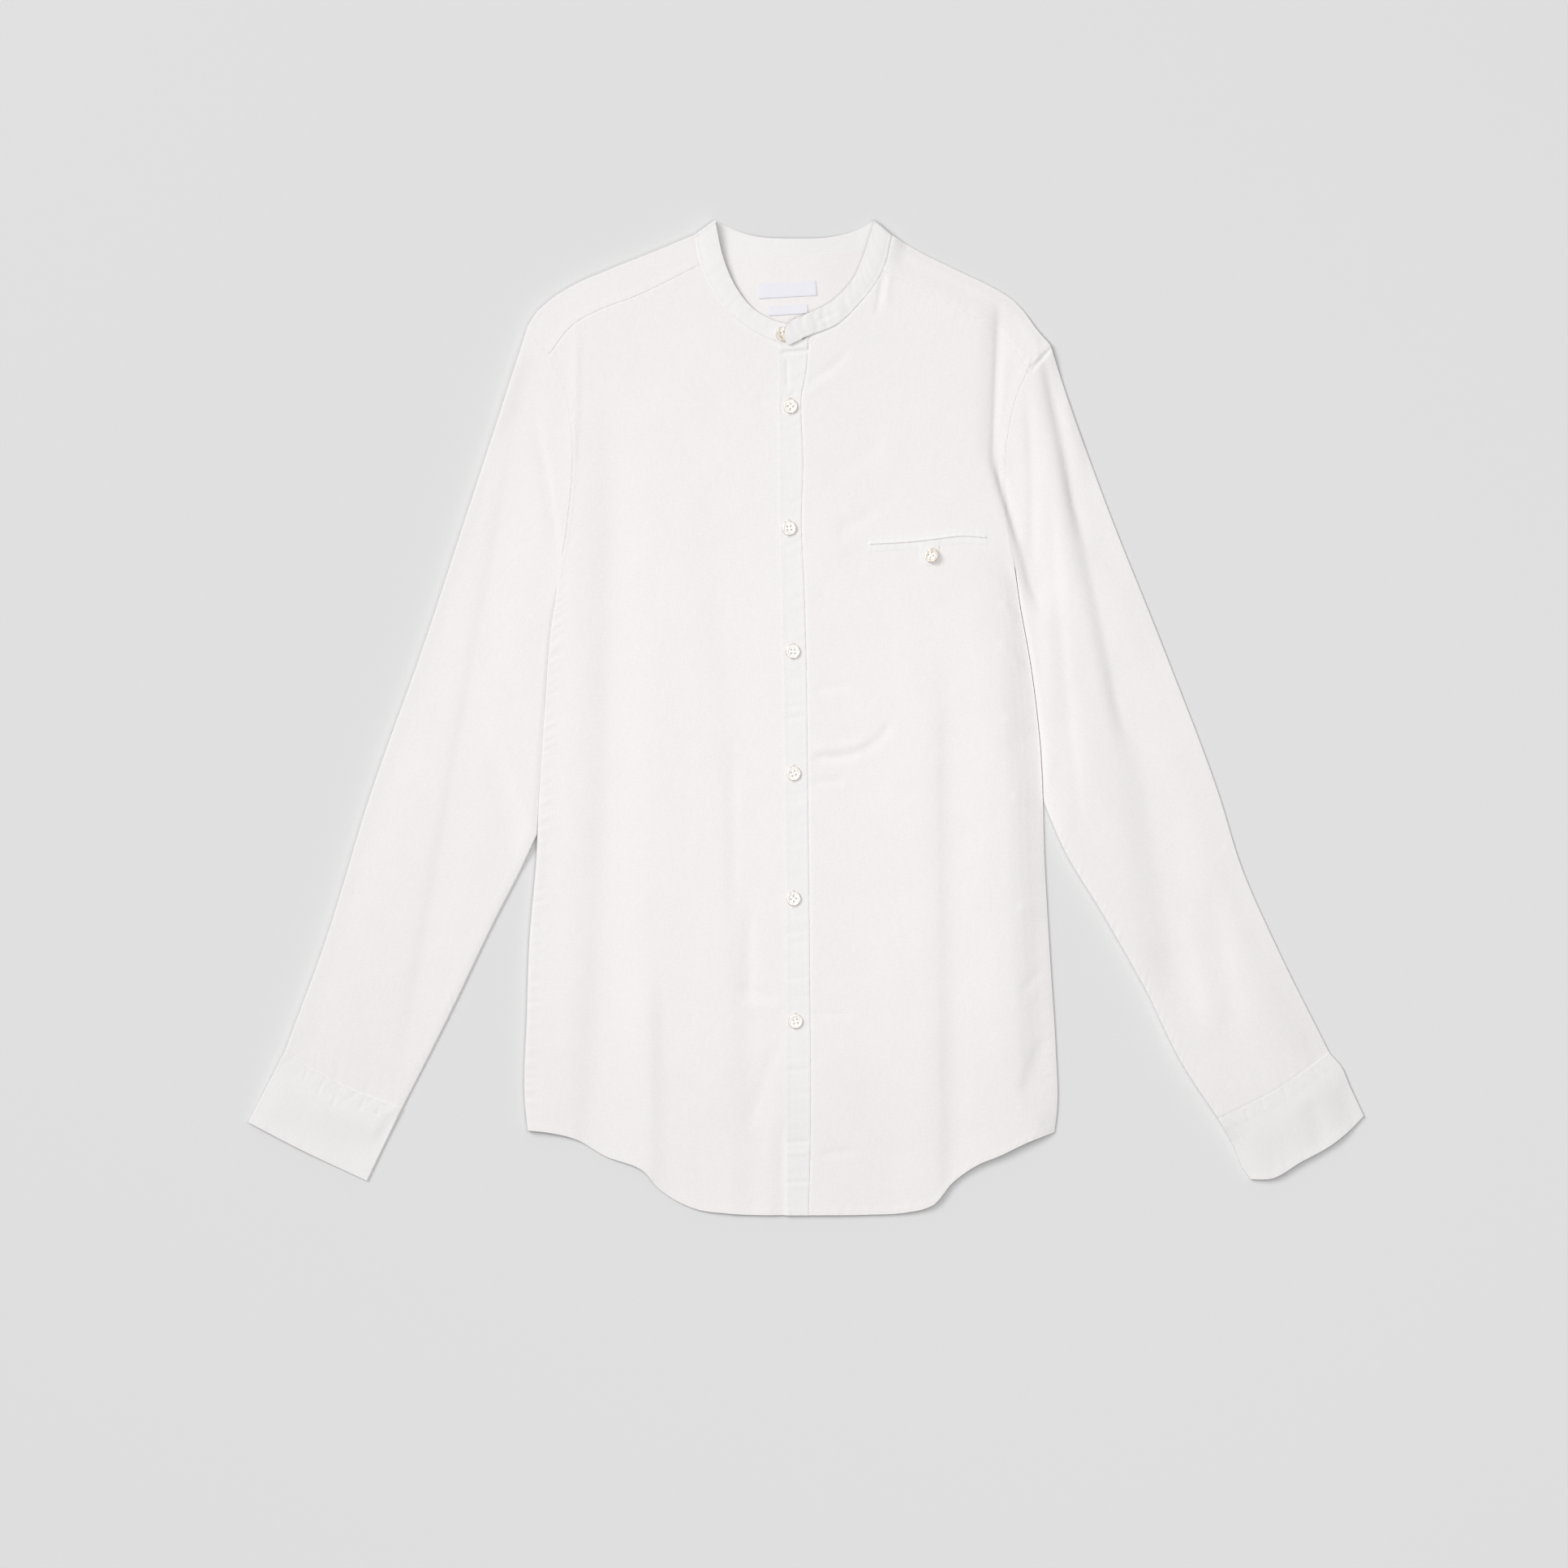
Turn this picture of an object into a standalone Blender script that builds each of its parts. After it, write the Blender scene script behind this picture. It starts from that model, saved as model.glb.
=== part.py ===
"""Mandarin collar shirt, laid flat on its back with the sleeves out to the sides.

The script works in millimetres and writes metres. Its origin is on the surface that
the shirt rests on, under the middle of its outline: +X to the wearer's left, +Y to
the collar, +Z up. Right and left are the wearer's.
"""
import math

import bmesh
import bpy
import numpy as np
from mathutils import Vector
from mathutils.bvhtree import BVHTree

MM = 0.001

# ---------------------------------------------------------------- driving sizes, mm
CLOTH = 1.2             # wall of one layer of cloth
FOLDED_CLOTH = 1.6      # wall of the band and the cuffs, which are folded and interlined
SEAM_GAP = 0.4          # between two pieces that are sewn edge to edge
REST_GAP = 0.3          # between two pieces that lie on each other
LOFT = 6.0              # height of the upper layer's outer face
HEM_LOFT = 4.2          # the same at the front hem
HEM_RISE = 70.0         # distance over which the front rises from its hem
ROLL = 3.5              # how far the round of a folded edge reaches in from the outline
SIDE_ROLL = 9.0         # the same at the body's side seams
UNDERARM_BLEND = 22.0   # length of side seam over which its round begins
LAP = CLOTH + REST_GAP  # the left front's step up over the right one
LAP_FADE = 24.0
FOLD_END = 0.25         # share of a fold's length over which it rises at each end
FOLD_BLUNT = 0.15       # how much of it stands at its very ends
SIDE_INSET = 0.1        # the fronts' round side edges, drawn in from the outline
SIDE_CLEARANCE = 0.5    # from the body's side to the sleeve that lies along it
BACK_TUCK = 1.0         # the back's edges lie this far inside the fronts' round walls
BACK_HEM_INSET = 3.0    # the back hem lies hidden inside the front one
YOKE_SEAM_Y = 246.0     # height of the yoke seam across the back
ARMHOLE_FADE = 0.35     # share of a sleeve's length over which its armhole's curve fades
ARMHOLE_HELD = 0.22     # share of its width, by the underarm, that has no such curve
CUFF_SEAM_FADE = 0.25   # share of a sleeve's length over which the cuff seam's curve fades
BAND_CROWN = 0.4        # how far the band swells between its seam and its edge
BAND_END_BOW = 3.5      # round of the band's lapped end
BAND_END_REACH = 12.0   # distance from the end over which that round fades

BUTTON_RADIUS = 6.0
BUTTON_THICK = 2.4
HOLE_RADIUS = 0.75
HOLE_CIRCLE = 1.6
BUTTON_SEAT = 0.7       # share of the radius within which the cloth carries a button

WELT = 6.0              # visible width of each pocket welt
WELT_CLOTH = 1.0
SLIT = 0.8
TAB_WIDTH = 15.4        # visible size of the pocket's button tab
TAB_LENGTH = 19.0
TAB_OFFSET = 1.8        # the tab's middle lies this far beside the button's
STAND_REACH = 1.5       # the right front stops this far short of the placket's seam
LABEL_TILT = math.radians(3.2)

# ------------------------------------------------------------- lines of the pattern
# Each row is x, y in mm. Lines on the right side run outward or down.
ARMHOLE_RIGHT = ((-220.5, 308.5), (-203.5, 286.5), (-190.5, 257.5), (-186.0, 227.5),
                 (-185.0, 197.5), (-187.5, 167.5), (-190.5, 143.0), (-196.0, 116.0))
ARMHOLE_LEFT = ((191.5, 294.0), (174.0, 275.5), (165.5, 257.0), (160.0, 237.0),
                (156.5, 215.0), (155.0, 194.0), (156.0, 169.5), (163.0, 118.0))
SIDE_RIGHT = ((-196.0, 116.0), (-197.5, 94.0), (-201.5, 67.5), (-206.0, 10.0),
              (-210.5, -59.0), (-214.5, -118.5), (-219.5, -176.0), (-221.5, -234.0),
              (-223.0, -305.0), (-221.0, -325.0))
SIDE_LEFT = ((163.0, 118.0), (168.0, 84.0), (174.0, 51.5), (183.0, -20.0),
             (187.0, -118.5), (191.5, -195.5), (195.5, -260.0), (196.5, -310.0),
             (194.5, -326.5))
SLEEVE_OUT_RIGHT = ((-220.5, 308.5), (-233.5, 268.0), (-265.5, 169.5), (-303.5, 54.0),
                    (-344.5, -61.0), (-380.0, -176.5), (-412.0, -263.5))
SLEEVE_OUT_LEFT = ((191.5, 294.0), (200.5, 266.0), (235.0, 169.5), (281.0, 54.0),
                   (324.5, -61.0), (342.5, -118.5), (368.0, -176.5), (411.5, -264.0))
SLEEVE_IN_RIGHT = ((-212.5, -92.0), (-226.0, -121.0), (-244.5, -157.0), (-281.5, -234.0),
                   (-319.0, -308.0))
SLEEVE_IN_LEFT = ((186.0, -68.0), (199.0, -99.5), (233.0, -157.0), (265.5, -214.5),
                  (294.0, -272.5), (323.0, -316.5))
CUFF_OUT_RIGHT = ((-412.0, -263.5), (-441.0, -318.5))
CUFF_OUT_LEFT = ((411.5, -264.0), (421.0, -275.0), (427.5, -290.0), (438.5, -313.5))
CUFF_IN_RIGHT = ((-319.0, -308.0), (-330.0, -330.0), (-347.0, -365.0))
CUFF_IN_LEFT = ((323.0, -316.5), (335.5, -338.5), (343.0, -355.5), (348.5, -363.5))
SHOULDER_RIGHT = ((-220.5, 308.5), (-214.5, 318.0), (-203.0, 329.0), (-186.0, 340.0),
                  (-158.0, 352.5), (-120.5, 367.5), (-89.0, 380.5))
SHOULDER_LEFT = ((191.5, 294.0), (181.0, 306.0), (171.0, 320.0), (162.0, 329.5),
                 (150.5, 337.0), (119.0, 352.5), (88.5, 367.5), (66.5, 380.5))
YOKE_FRONT_RIGHT = ((-203.5, 286.5), (-185.0, 309.5), (-164.0, 321.5), (-139.5, 330.5),
                    (-84.5, 357.0))
YOKE_FRONT_LEFT = ((174.0, 275.5), (166.0, 288.5), (150.0, 305.5), (123.0, 319.5),
                   (59.0, 352.0))
HEM_RIGHT = ((-221.0, -325.0), (-203.0, -327.0), (-183.0, -332.0), (-160.5, -345.0),
             (-128.0, -358.5), (-118.5, -370.0), (-104.5, -380.0), (-87.0, -387.5),
             (-64.5, -390.5), (-1.5, -392.0))
HEM_LEFT = ((194.5, -326.5), (174.5, -334.0), (152.5, -344.5), (132.5, -353.0),
            (114.5, -366.0), (98.5, -384.0), (76.0, -390.0), (48.0, -391.5), (0.5, -392.0))
PLACKET_LEFT_EDGE = ((-23.5, 294.5), (-23.5, 227.0), (-22.5, 130.0), (-20.5, 54.0),
                     (-19.0, -42.0), (-18.0, -138.0), (-18.0, -392.0))
PLACKET_TOP = ((-23.5, 294.5), (-16.5, 292.5), (0.5, 300.0))
PLACKET_SEAM = ((0.5, 300.0), (-2.0, 269.0), (-5.0, 254.0), (-6.0, 227.0), (-4.5, 182.0),
                (-1.5, 54.0), (0.0, -60.0), (1.5, -202.0), (2.0, -330.0), (0.5, -392.0))
POCKET_SLIT = ((47.5, 136.0), (87.0, 138.5), (103.0, 140.5), (122.0, 142.5), (141.5, 141.0))

# Bow of a cuff's ends away from their chords, from the outer corner to the inner one:
# share of the chord, mm outward
CUFF_SEAM_BOW = ((0.0, 0.0), (0.5, 3.6), (1.0, 0.0))
CUFF_END_BOW_RIGHT = ((0.0, 0.0), (0.5, 1.0), (1.0, 0.0))
CUFF_END_BOW_LEFT = ((0.0, 0.0), (0.13, 4.0), (0.33, 7.5), (0.6, 7.5), (0.86, 7.5), (1.0, 0.0))

# Ribs of the collar band: seam x, y; free edge x, y; height of the outer face at each
BAND_RIGHT = (
    (-5.0, 293.0, -3.0, 311.0, 6.0, 6.2),
    (-17.0, 293.5, -16.0, 310.0, 6.0, 6.4),
    (-30.5, 298.0, -26.0, 312.5, 6.0, 6.4),
    (-54.0, 311.5, -43.0, 322.0, 6.0, 7.6),
    (-71.5, 331.0, -56.0, 338.0, 6.0, 9.0),
    (-84.5, 357.0, -66.5, 362.0, 6.0, 10.0),
    (-89.0, 380.5, -73.0, 392.0, 6.0, 10.0),
)
BAND_LEFT = (
    (-16.5, 293.0, -10.5, 314.5, 10.8, 11.4),
    (0.5, 300.5, 0.0, 318.0, 8.0, 8.6),
    (22.0, 309.0, 14.0, 324.5, 6.6, 7.6),
    (42.0, 327.5, 29.5, 337.5, 6.0, 7.8),
    (53.0, 341.0, 37.5, 348.5, 6.0, 8.4),
    (59.0, 352.0, 42.5, 360.0, 6.0, 9.0),
    (66.5, 380.5, 53.0, 392.0, 6.0, 9.0),
)
BAND_BACK = (
    (-89.0, 380.5, -73.0, 392.0, 0.0, 1.5),
    (-73.5, 370.0, -60.0, 385.5, 0.0, 1.8),
    (-48.0, 364.5, -42.0, 379.5, 0.0, 2.6),
    (-9.5, 362.5, -10.0, 377.5, 0.0, 3.0),
    (29.0, 365.0, 22.0, 379.5, 0.0, 2.6),
    (51.0, 370.0, 40.0, 385.0, 0.0, 1.8),
    (66.5, 380.5, 53.0, 392.0, 0.0, 1.5),
)

# The ways that the band's crease faces, at its seam and at its free edge
BAND_CREASE_RIGHT = ((-0.188, 0.982), (-0.5, 0.866))
BAND_CREASE_LEFT = ((0.25, 0.968), (0.5, 0.866))

# Largest folds of the upper layer: both ends of the crest, its sideways bow, its half
# width, and its height, which is negative in a trough
FOLDS = (
    # x0, y0, x1, y1, bow, width, height
    (-176.0, 250.0, -180.0, -250.0, -4.0, 12.0, 1.4),
    (-164.0, 215.0, -168.0, -330.0, 4.0, 13.0, -1.3),
    (-105.0, 190.0, -62.0, -300.0, 10.0, 26.0, 1.3),
    (-84.0, 160.0, -42.0, -385.0, 10.0, 15.0, -1.5),
    (-126.0, -230.0, -118.0, -372.0, 2.0, 9.0, -1.4),
    (-138.0, -200.0, -132.0, -360.0, 2.0, 9.0, 1.2),
    (104.0, 110.0, 106.0, -370.0, 2.0, 12.0, -1.7),
    (128.0, 110.0, 132.0, -350.0, -3.0, 14.0, 1.4),
    (150.0, 310.0, 150.0, 170.0, -5.0, 9.0, -1.8),
    (164.0, 60.0, 174.0, -150.0, -5.0, 9.0, -1.4),
    (64.0, 60.0, 60.0, -360.0, 3.0, 22.0, 1.1),
    (14.0, -28.0, 62.0, -8.0, 5.0, 6.0, -1.0),
    (-252.0, 200.0, -352.0, -210.0, 8.0, 16.0, -1.4),
    (-222.0, 190.0, -300.0, -200.0, -6.0, 16.0, 1.3),
    (-212.0, 235.0, -198.0, 120.0, 8.0, 7.0, -1.3),
    (184.0, 272.0, 238.0, 54.0, -6.0, 9.0, -1.9),
    (205.0, 240.0, 262.0, 20.0, -4.0, 12.0, 1.4),
    (262.0, 20.0, 352.0, -230.0, 6.0, 18.0, -1.4),
    (240.0, 30.0, 320.0, -240.0, 4.0, 14.0, 1.1),
)

BUTTONS = (
    # name, x, y, turn in degrees
    ("button_collar", -19.5, 301.8, 25.0),
    ("button_1", -13.5, 245.0, 40.0),
    ("button_2", -14.5, 149.0, 5.0),
    ("button_3", -11.5, 52.0, 0.0),
    ("button_4", -11.0, -44.0, 20.0),
    ("button_5", -11.0, -142.5, 50.0),
    ("button_6", -9.5, -239.0, 10.0),
    ("button_pocket", 97.5, 127.5, 30.0),
)

LABELS = (
    # name, centre x, centre y, width, height
    ("label_main", -16.0, 337.0, 46.0, 11.6),
    ("label_small", -15.5, 322.6, 31.4, 7.2),
)

# colour, roughness
LINEN = ((0.88, 0.86, 0.85), 0.9)
BAND_LINEN = ((0.86, 0.855, 0.88), 0.9)
PEARL = ((0.80, 0.77, 0.72), 0.3)
WOVEN_LABEL = ((0.84, 0.84, 0.90), 0.6)

# mesh steps
FRONT_COLUMNS = 7
NECK_COLUMNS = 11
ROLL_STEPS = 3
ARMHOLE_ROWS = 14
SIDE_ROWS = 12
UNDERARM_STEP = 8.0     # mm from the underarm to the first row of the side
SLEEVE_STATIONS = 15
CUFF_STATIONS = 3
TUBE_TOP = 12
TUBE_UNDER = 8
TUBE_SAMPLES = 41
SHOULDER_STEPS = 10
YOKE_NECK_STEPS = 18
YOKE_BACK_ROWS = 5
YOKE_FRONT_ROWS = 2
BACK_COLUMNS = 13
BAND_STEPS = 3
BAND_COLUMNS = 4
WELT_COLUMNS = 15
TAB_ROWS = 9
PLACKET_ROWS = 33
PLACKET_COLUMNS = 4
BUTTON_SEGMENTS = 14
HOLE_SEGMENTS = 5


# ------------------------------------------------------------------- lines and grids
def ease(value):
    """Rises smoothly from 0 to 1."""
    t = np.clip(value, 0.0, 1.0)
    return t * t * (3.0 - 2.0 * t)


def smooth_line(points, steps=12):
    """Points of a smooth curve through the given rows, of any number of columns."""
    knots = np.array(points, float)
    spans = np.linalg.norm(np.diff(knots, axis=0), axis=1)[:, None]
    rates = np.diff(knots, axis=0) / spans
    inner = (rates[:-1] * spans[1:] + rates[1:] * spans[:-1]) / (spans[1:] + spans[:-1])
    slopes = np.vstack([rates[:1], inner, rates[-1:]]) if len(knots) > 2 else np.repeat(rates, 2, 0)
    t = (np.arange(steps) / steps)[:, None]
    runs = []
    for k, span in enumerate(spans):
        start = (2 * t**3 - 3 * t**2 + 1) * knots[k] + (t**3 - 2 * t**2 + t) * span * slopes[k]
        end = (3 * t**2 - 2 * t**3) * knots[k + 1] + (t**3 - t**2) * span * slopes[k + 1]
        runs.append(start + end)
    return np.vstack(runs + [knots[-1:]])


def armhole_line(points):
    """An armhole, straight at the end of the yoke and smooth below."""
    return np.vstack([points[:1], smooth_line(points[1:])])


def neck_line(ribs):
    """The neck seam along a run of the band's ribs, from the shoulder to the centre."""
    return smooth_line(ribs)[::-1, :2]


def length(line):
    return float(np.linalg.norm(np.diff(line[:, :2], axis=0), axis=1).sum())


def along(line, fraction):
    """Points of a line at fractions of its length in plan."""
    steps = np.linalg.norm(np.diff(line[:, :2], axis=0), axis=1)
    run = np.concatenate([[0.0], np.cumsum(steps)])
    where = np.asarray(fraction) * run[-1]
    return np.stack([np.interp(where, run, line[:, c]) for c in range(line.shape[1])], -1)


def x_at(line, y):
    """x of a line that runs down, at height y."""
    return np.interp(y, line[::-1, 1], line[::-1, 0])


def join(*lines):
    """One line from several that meet end to end."""
    return np.vstack([line[:-1] for line in lines[:-1]] + [lines[-1]])


def patch(top, bottom, first, last, u, v):
    """Plan of a panel between four border lines: v runs down, u runs across."""
    upper = along(top, u)
    lower = along(bottom, u)
    near = along(first, v)
    far = along(last, v)
    u = np.asarray(u)[..., None]
    v = np.asarray(v)[..., None]
    corners = (1 - v) * ((1 - u) * top[0] + u * top[-1]) + v * ((1 - u) * bottom[0] + u * bottom[-1])
    return (1 - v) * upper + v * lower + (1 - u) * near + u * far - corners


def push(border, neighbour, amount):
    """Moves that take a border line towards its neighbour, square to itself."""
    tangent = np.gradient(border, axis=0)
    square = np.stack([-tangent[:, 1], tangent[:, 0]], -1)
    square /= np.linalg.norm(square, axis=1)[:, None]
    facing = np.sign(((neighbour - border) * square).sum(1))[:, None]
    return square * facing * amount


def inset(plan, first_row=0.0, last_row=0.0, first_column=0.0, last_column=0.0):
    """A panel's plan with its borders drawn in from their seams."""
    moved = plan.copy()
    moved[0] += push(plan[0], plan[1], first_row)
    moved[-1] += push(plan[-1], plan[-2], last_row)
    moved[:, 0] += push(plan[:, 0], plan[:, 1], first_column)
    moved[:, -1] += push(plan[:, -1], plan[:, -2], last_column)
    return moved


def with_height(plan, height):
    return np.concatenate([plan, np.broadcast_to(height, plan.shape[:-1])[..., None]], -1)


# ------------------------------------------------------------ heights of the surface
HEM_LINE = np.vstack([smooth_line(HEM_RIGHT), smooth_line(HEM_LEFT)[::-1]])
SEAM_LINE = smooth_line(PLACKET_SEAM)


def relief(x, y):
    """Height that the folds add to the upper layer."""
    total = np.zeros(np.broadcast(x, y).shape)
    for x0, y0, x1, y1, bow, width, height in FOLDS:
        run = math.hypot(x1 - x0, y1 - y0)
        along_x, along_y = (x1 - x0) / run, (y1 - y0) / run
        t = ((x - x0) * along_x + (y - y0) * along_y) / run
        aside = (x - x0) * -along_y + (y - y0) * along_x - bow * 4.0 * t * (1.0 - t)
        fade = ease(np.minimum(t, 1.0 - t) / FOLD_END + FOLD_BLUNT)
        total = total + height * np.exp(-(aside / width) ** 2) * fade
    return total


def front_height(x, y):
    """Outer face of the right front, and of the left one away from its lap."""
    above_hem = y - np.interp(x, HEM_LINE[:, 0], HEM_LINE[:, 1])
    return HEM_LOFT + (LOFT - HEM_LOFT) * ease(above_hem / HEM_RISE) + relief(x, y)


def left_front_height(x, y):
    """The left front steps up beside the placket, over the right front's edge."""
    lap = LAP * (1.0 - ease((x - x_at(SEAM_LINE, y)) / LAP_FADE))
    return front_height(x, y) + lap


def top_of(panel, x, y):
    """Height of a panel's upper face, in mm, under points of the plan."""
    tree = BVHTree.FromObject(panel, bpy.context.evaluated_depsgraph_get())
    heights = np.zeros(np.broadcast(x, y).shape)
    for spot in np.ndindex(heights.shape):
        above = Vector((x[spot] * MM, y[spot] * MM, 1.0))
        found = tree.ray_cast(above, Vector((0.0, 0.0, -1.0)))[0]
        if found is None:
            found = tree.find_nearest(above - Vector((0.0, 0.0, 1.0 - LOFT * MM)))[0]
        heights[spot] = found.z / MM
    return heights


# ---------------------------------------------------------------------- mesh making
def add_object(name, mesh, finish):
    colour, roughness = finish
    material = bpy.data.materials.new(name)
    material.use_nodes = True
    shader = material.node_tree.nodes["Principled BSDF"]
    shader.inputs["Base Color"].default_value = (*colour, 1.0)
    shader.inputs["Roughness"].default_value = roughness
    mesh.materials.append(material)
    mesh.shade_smooth()
    mesh.set_sharp_from_angle(angle=math.radians(40.0))
    piece = bpy.data.objects.new(name, mesh)
    bpy.context.scene.collection.objects.link(piece)
    return piece


def closed_wall(name, outer, inner, finish, ring=False, keep=None):
    """A wall between two matching grids of points, closed round its borders.

    With ring set, the columns close into a tube. keep names the cells to build.
    """
    rows, columns = outer.shape[:2]
    mesh_edit = bmesh.new()
    faces_of_side = []
    verts = [[[mesh_edit.verts.new(point * MM) for point in row] for row in side]
             for side in (outer, inner)]
    last = columns if ring else columns - 1
    cells = {(r, c) for r in range(rows - 1) for c in range(last) if keep is None or keep(r, c)}
    for r, c in cells:
        corners = ((r, c), (r + 1, c), (r + 1, (c + 1) % columns), (r, (c + 1) % columns))
        mesh_edit.faces.new([verts[0][i][j] for i, j in corners])
        mesh_edit.faces.new([verts[1][i][j] for i, j in reversed(corners)])
        neighbours = ((r, c - 1), (r + 1, c), (r, c + 1), (r - 1, c))
        for side, (i, j) in enumerate(neighbours):
            if (i, j % columns if ring else j) in cells:
                continue
            a, b = corners[side], corners[(side + 1) % 4]
            faces_of_side.append((verts[0][b[0]][b[1]], verts[0][a[0]][a[1]],
                                  verts[1][a[0]][a[1]], verts[1][b[0]][b[1]]))
    for rim in faces_of_side:
        mesh_edit.faces.new(rim)
    unused = [vert for vert in mesh_edit.verts if not vert.link_faces]
    bmesh.ops.delete(mesh_edit, geom=unused, context="VERTS")
    bmesh.ops.recalc_face_normals(mesh_edit, faces=mesh_edit.faces)
    mesh = bpy.data.meshes.new(name)
    mesh_edit.to_mesh(mesh)
    mesh_edit.free()
    return add_object(name, mesh, finish)


# ------------------------------------------------------------------------ the pieces
def body_rows(armhole, side):
    """Fractions down an armhole and side seam, and how round the edge is at each."""
    whole = length(armhole) + length(side)
    underarm = length(armhole) / whole
    v = np.concatenate([np.linspace(0.0, underarm, ARMHOLE_ROWS),
                        [underarm + UNDERARM_STEP / whole],
                        np.linspace(underarm + UNDERARM_BLEND / whole, 1.0, SIDE_ROWS)])
    rounding = ease((v - underarm) * whole / UNDERARM_BLEND)
    return v, rounding


def make_front(name, yoke_seam, neck_seam, hem, armhole, side, centre, height):
    """A front from its side seam to its centre line, round at the side."""
    edge = join(armhole, side)
    top = join(yoke_seam, neck_seam)
    v, rounding = body_rows(armhole, side)
    width = length(hem)
    corner = length(yoke_seam) / length(top)
    start = SIDE_ROLL / width
    turn = np.linspace(0.0, math.pi / 2.0, ROLL_STEPS + 1)[:-1]
    flat = np.concatenate([np.linspace(start, corner, FRONT_COLUMNS)[:-1],
                           np.linspace(corner, 1.0, NECK_COLUMNS)])
    straight = np.concatenate([np.linspace(0.0, start, ROLL_STEPS + 1)[:-1], flat])
    wall = CLOTH / width
    round_outer = np.concatenate([start * (1.0 - np.cos(turn)), flat])
    round_inner = np.concatenate([wall + (start - wall) * (1.0 - np.cos(turn)), flat])
    rise = np.concatenate([np.sin(turn), np.ones(len(flat))])

    mix = rounding[:, None]
    rows = np.broadcast_to(v[:, None], (len(v), len(flat) + ROLL_STEPS))
    seams = {"first_row": 0.75 * SEAM_GAP, "last_column": SEAM_GAP / 2}
    sides = []
    for across, drop in ((round_outer, 0.0), (round_inner, CLOTH)):
        plan = patch(top, hem, edge, centre, straight + mix * (across - straight), rows)
        plan = inset(plan, **seams)
        plan[:, 0] += push(plan[:, 0], plan[:, 1], SEAM_GAP + (SIDE_INSET - SEAM_GAP) * mix)
        full = height(plan[..., 0], plan[..., 1]) - drop
        sides.append(with_height(plan, full * (1.0 + mix * (rise - 1.0))))
    return closed_wall(name, *sides, LINEN)


def below_yoke(armhole):
    """The stretch of an armhole that the back is sewn to."""
    line = armhole_line(armhole)
    start = [[x_at(line, YOKE_SEAM_Y), YOKE_SEAM_Y]]
    return np.vstack([start, line[line[:, 1] < YOKE_SEAM_Y - 1.0]])


def make_back():
    """The back, flat on the surface, inside the fronts' round sides."""
    right_hole, left_hole = below_yoke(ARMHOLE_RIGHT), below_yoke(ARMHOLE_LEFT)
    right_side, left_side = smooth_line(SIDE_RIGHT), smooth_line(SIDE_LEFT)
    v, rounding = body_rows(right_hole, right_side)
    first, last = join(right_hole, right_side), join(left_hole, left_side)
    top = np.array([first[0], last[0]])
    u = np.linspace(0.0, 1.0, BACK_COLUMNS)
    grid_u = np.broadcast_to(u, (len(v), len(u)))
    grid_v = np.broadcast_to(v[:, None], grid_u.shape)
    plan = patch(top, HEM_LINE, first, last, grid_u, grid_v)
    plan = inset(plan, first_row=SEAM_GAP / 2, last_row=BACK_HEM_INSET)
    tuck = (BACK_TUCK + CLOTH * rounding)[:, None]
    plan[:, 0] += push(plan[:, 0], plan[:, 1], tuck)
    plan[:, -1] += push(plan[:, -1], plan[:, -2], tuck)
    return closed_wall("back", with_height(plan, 0.0), with_height(plan, CLOTH), LINEN)


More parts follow.
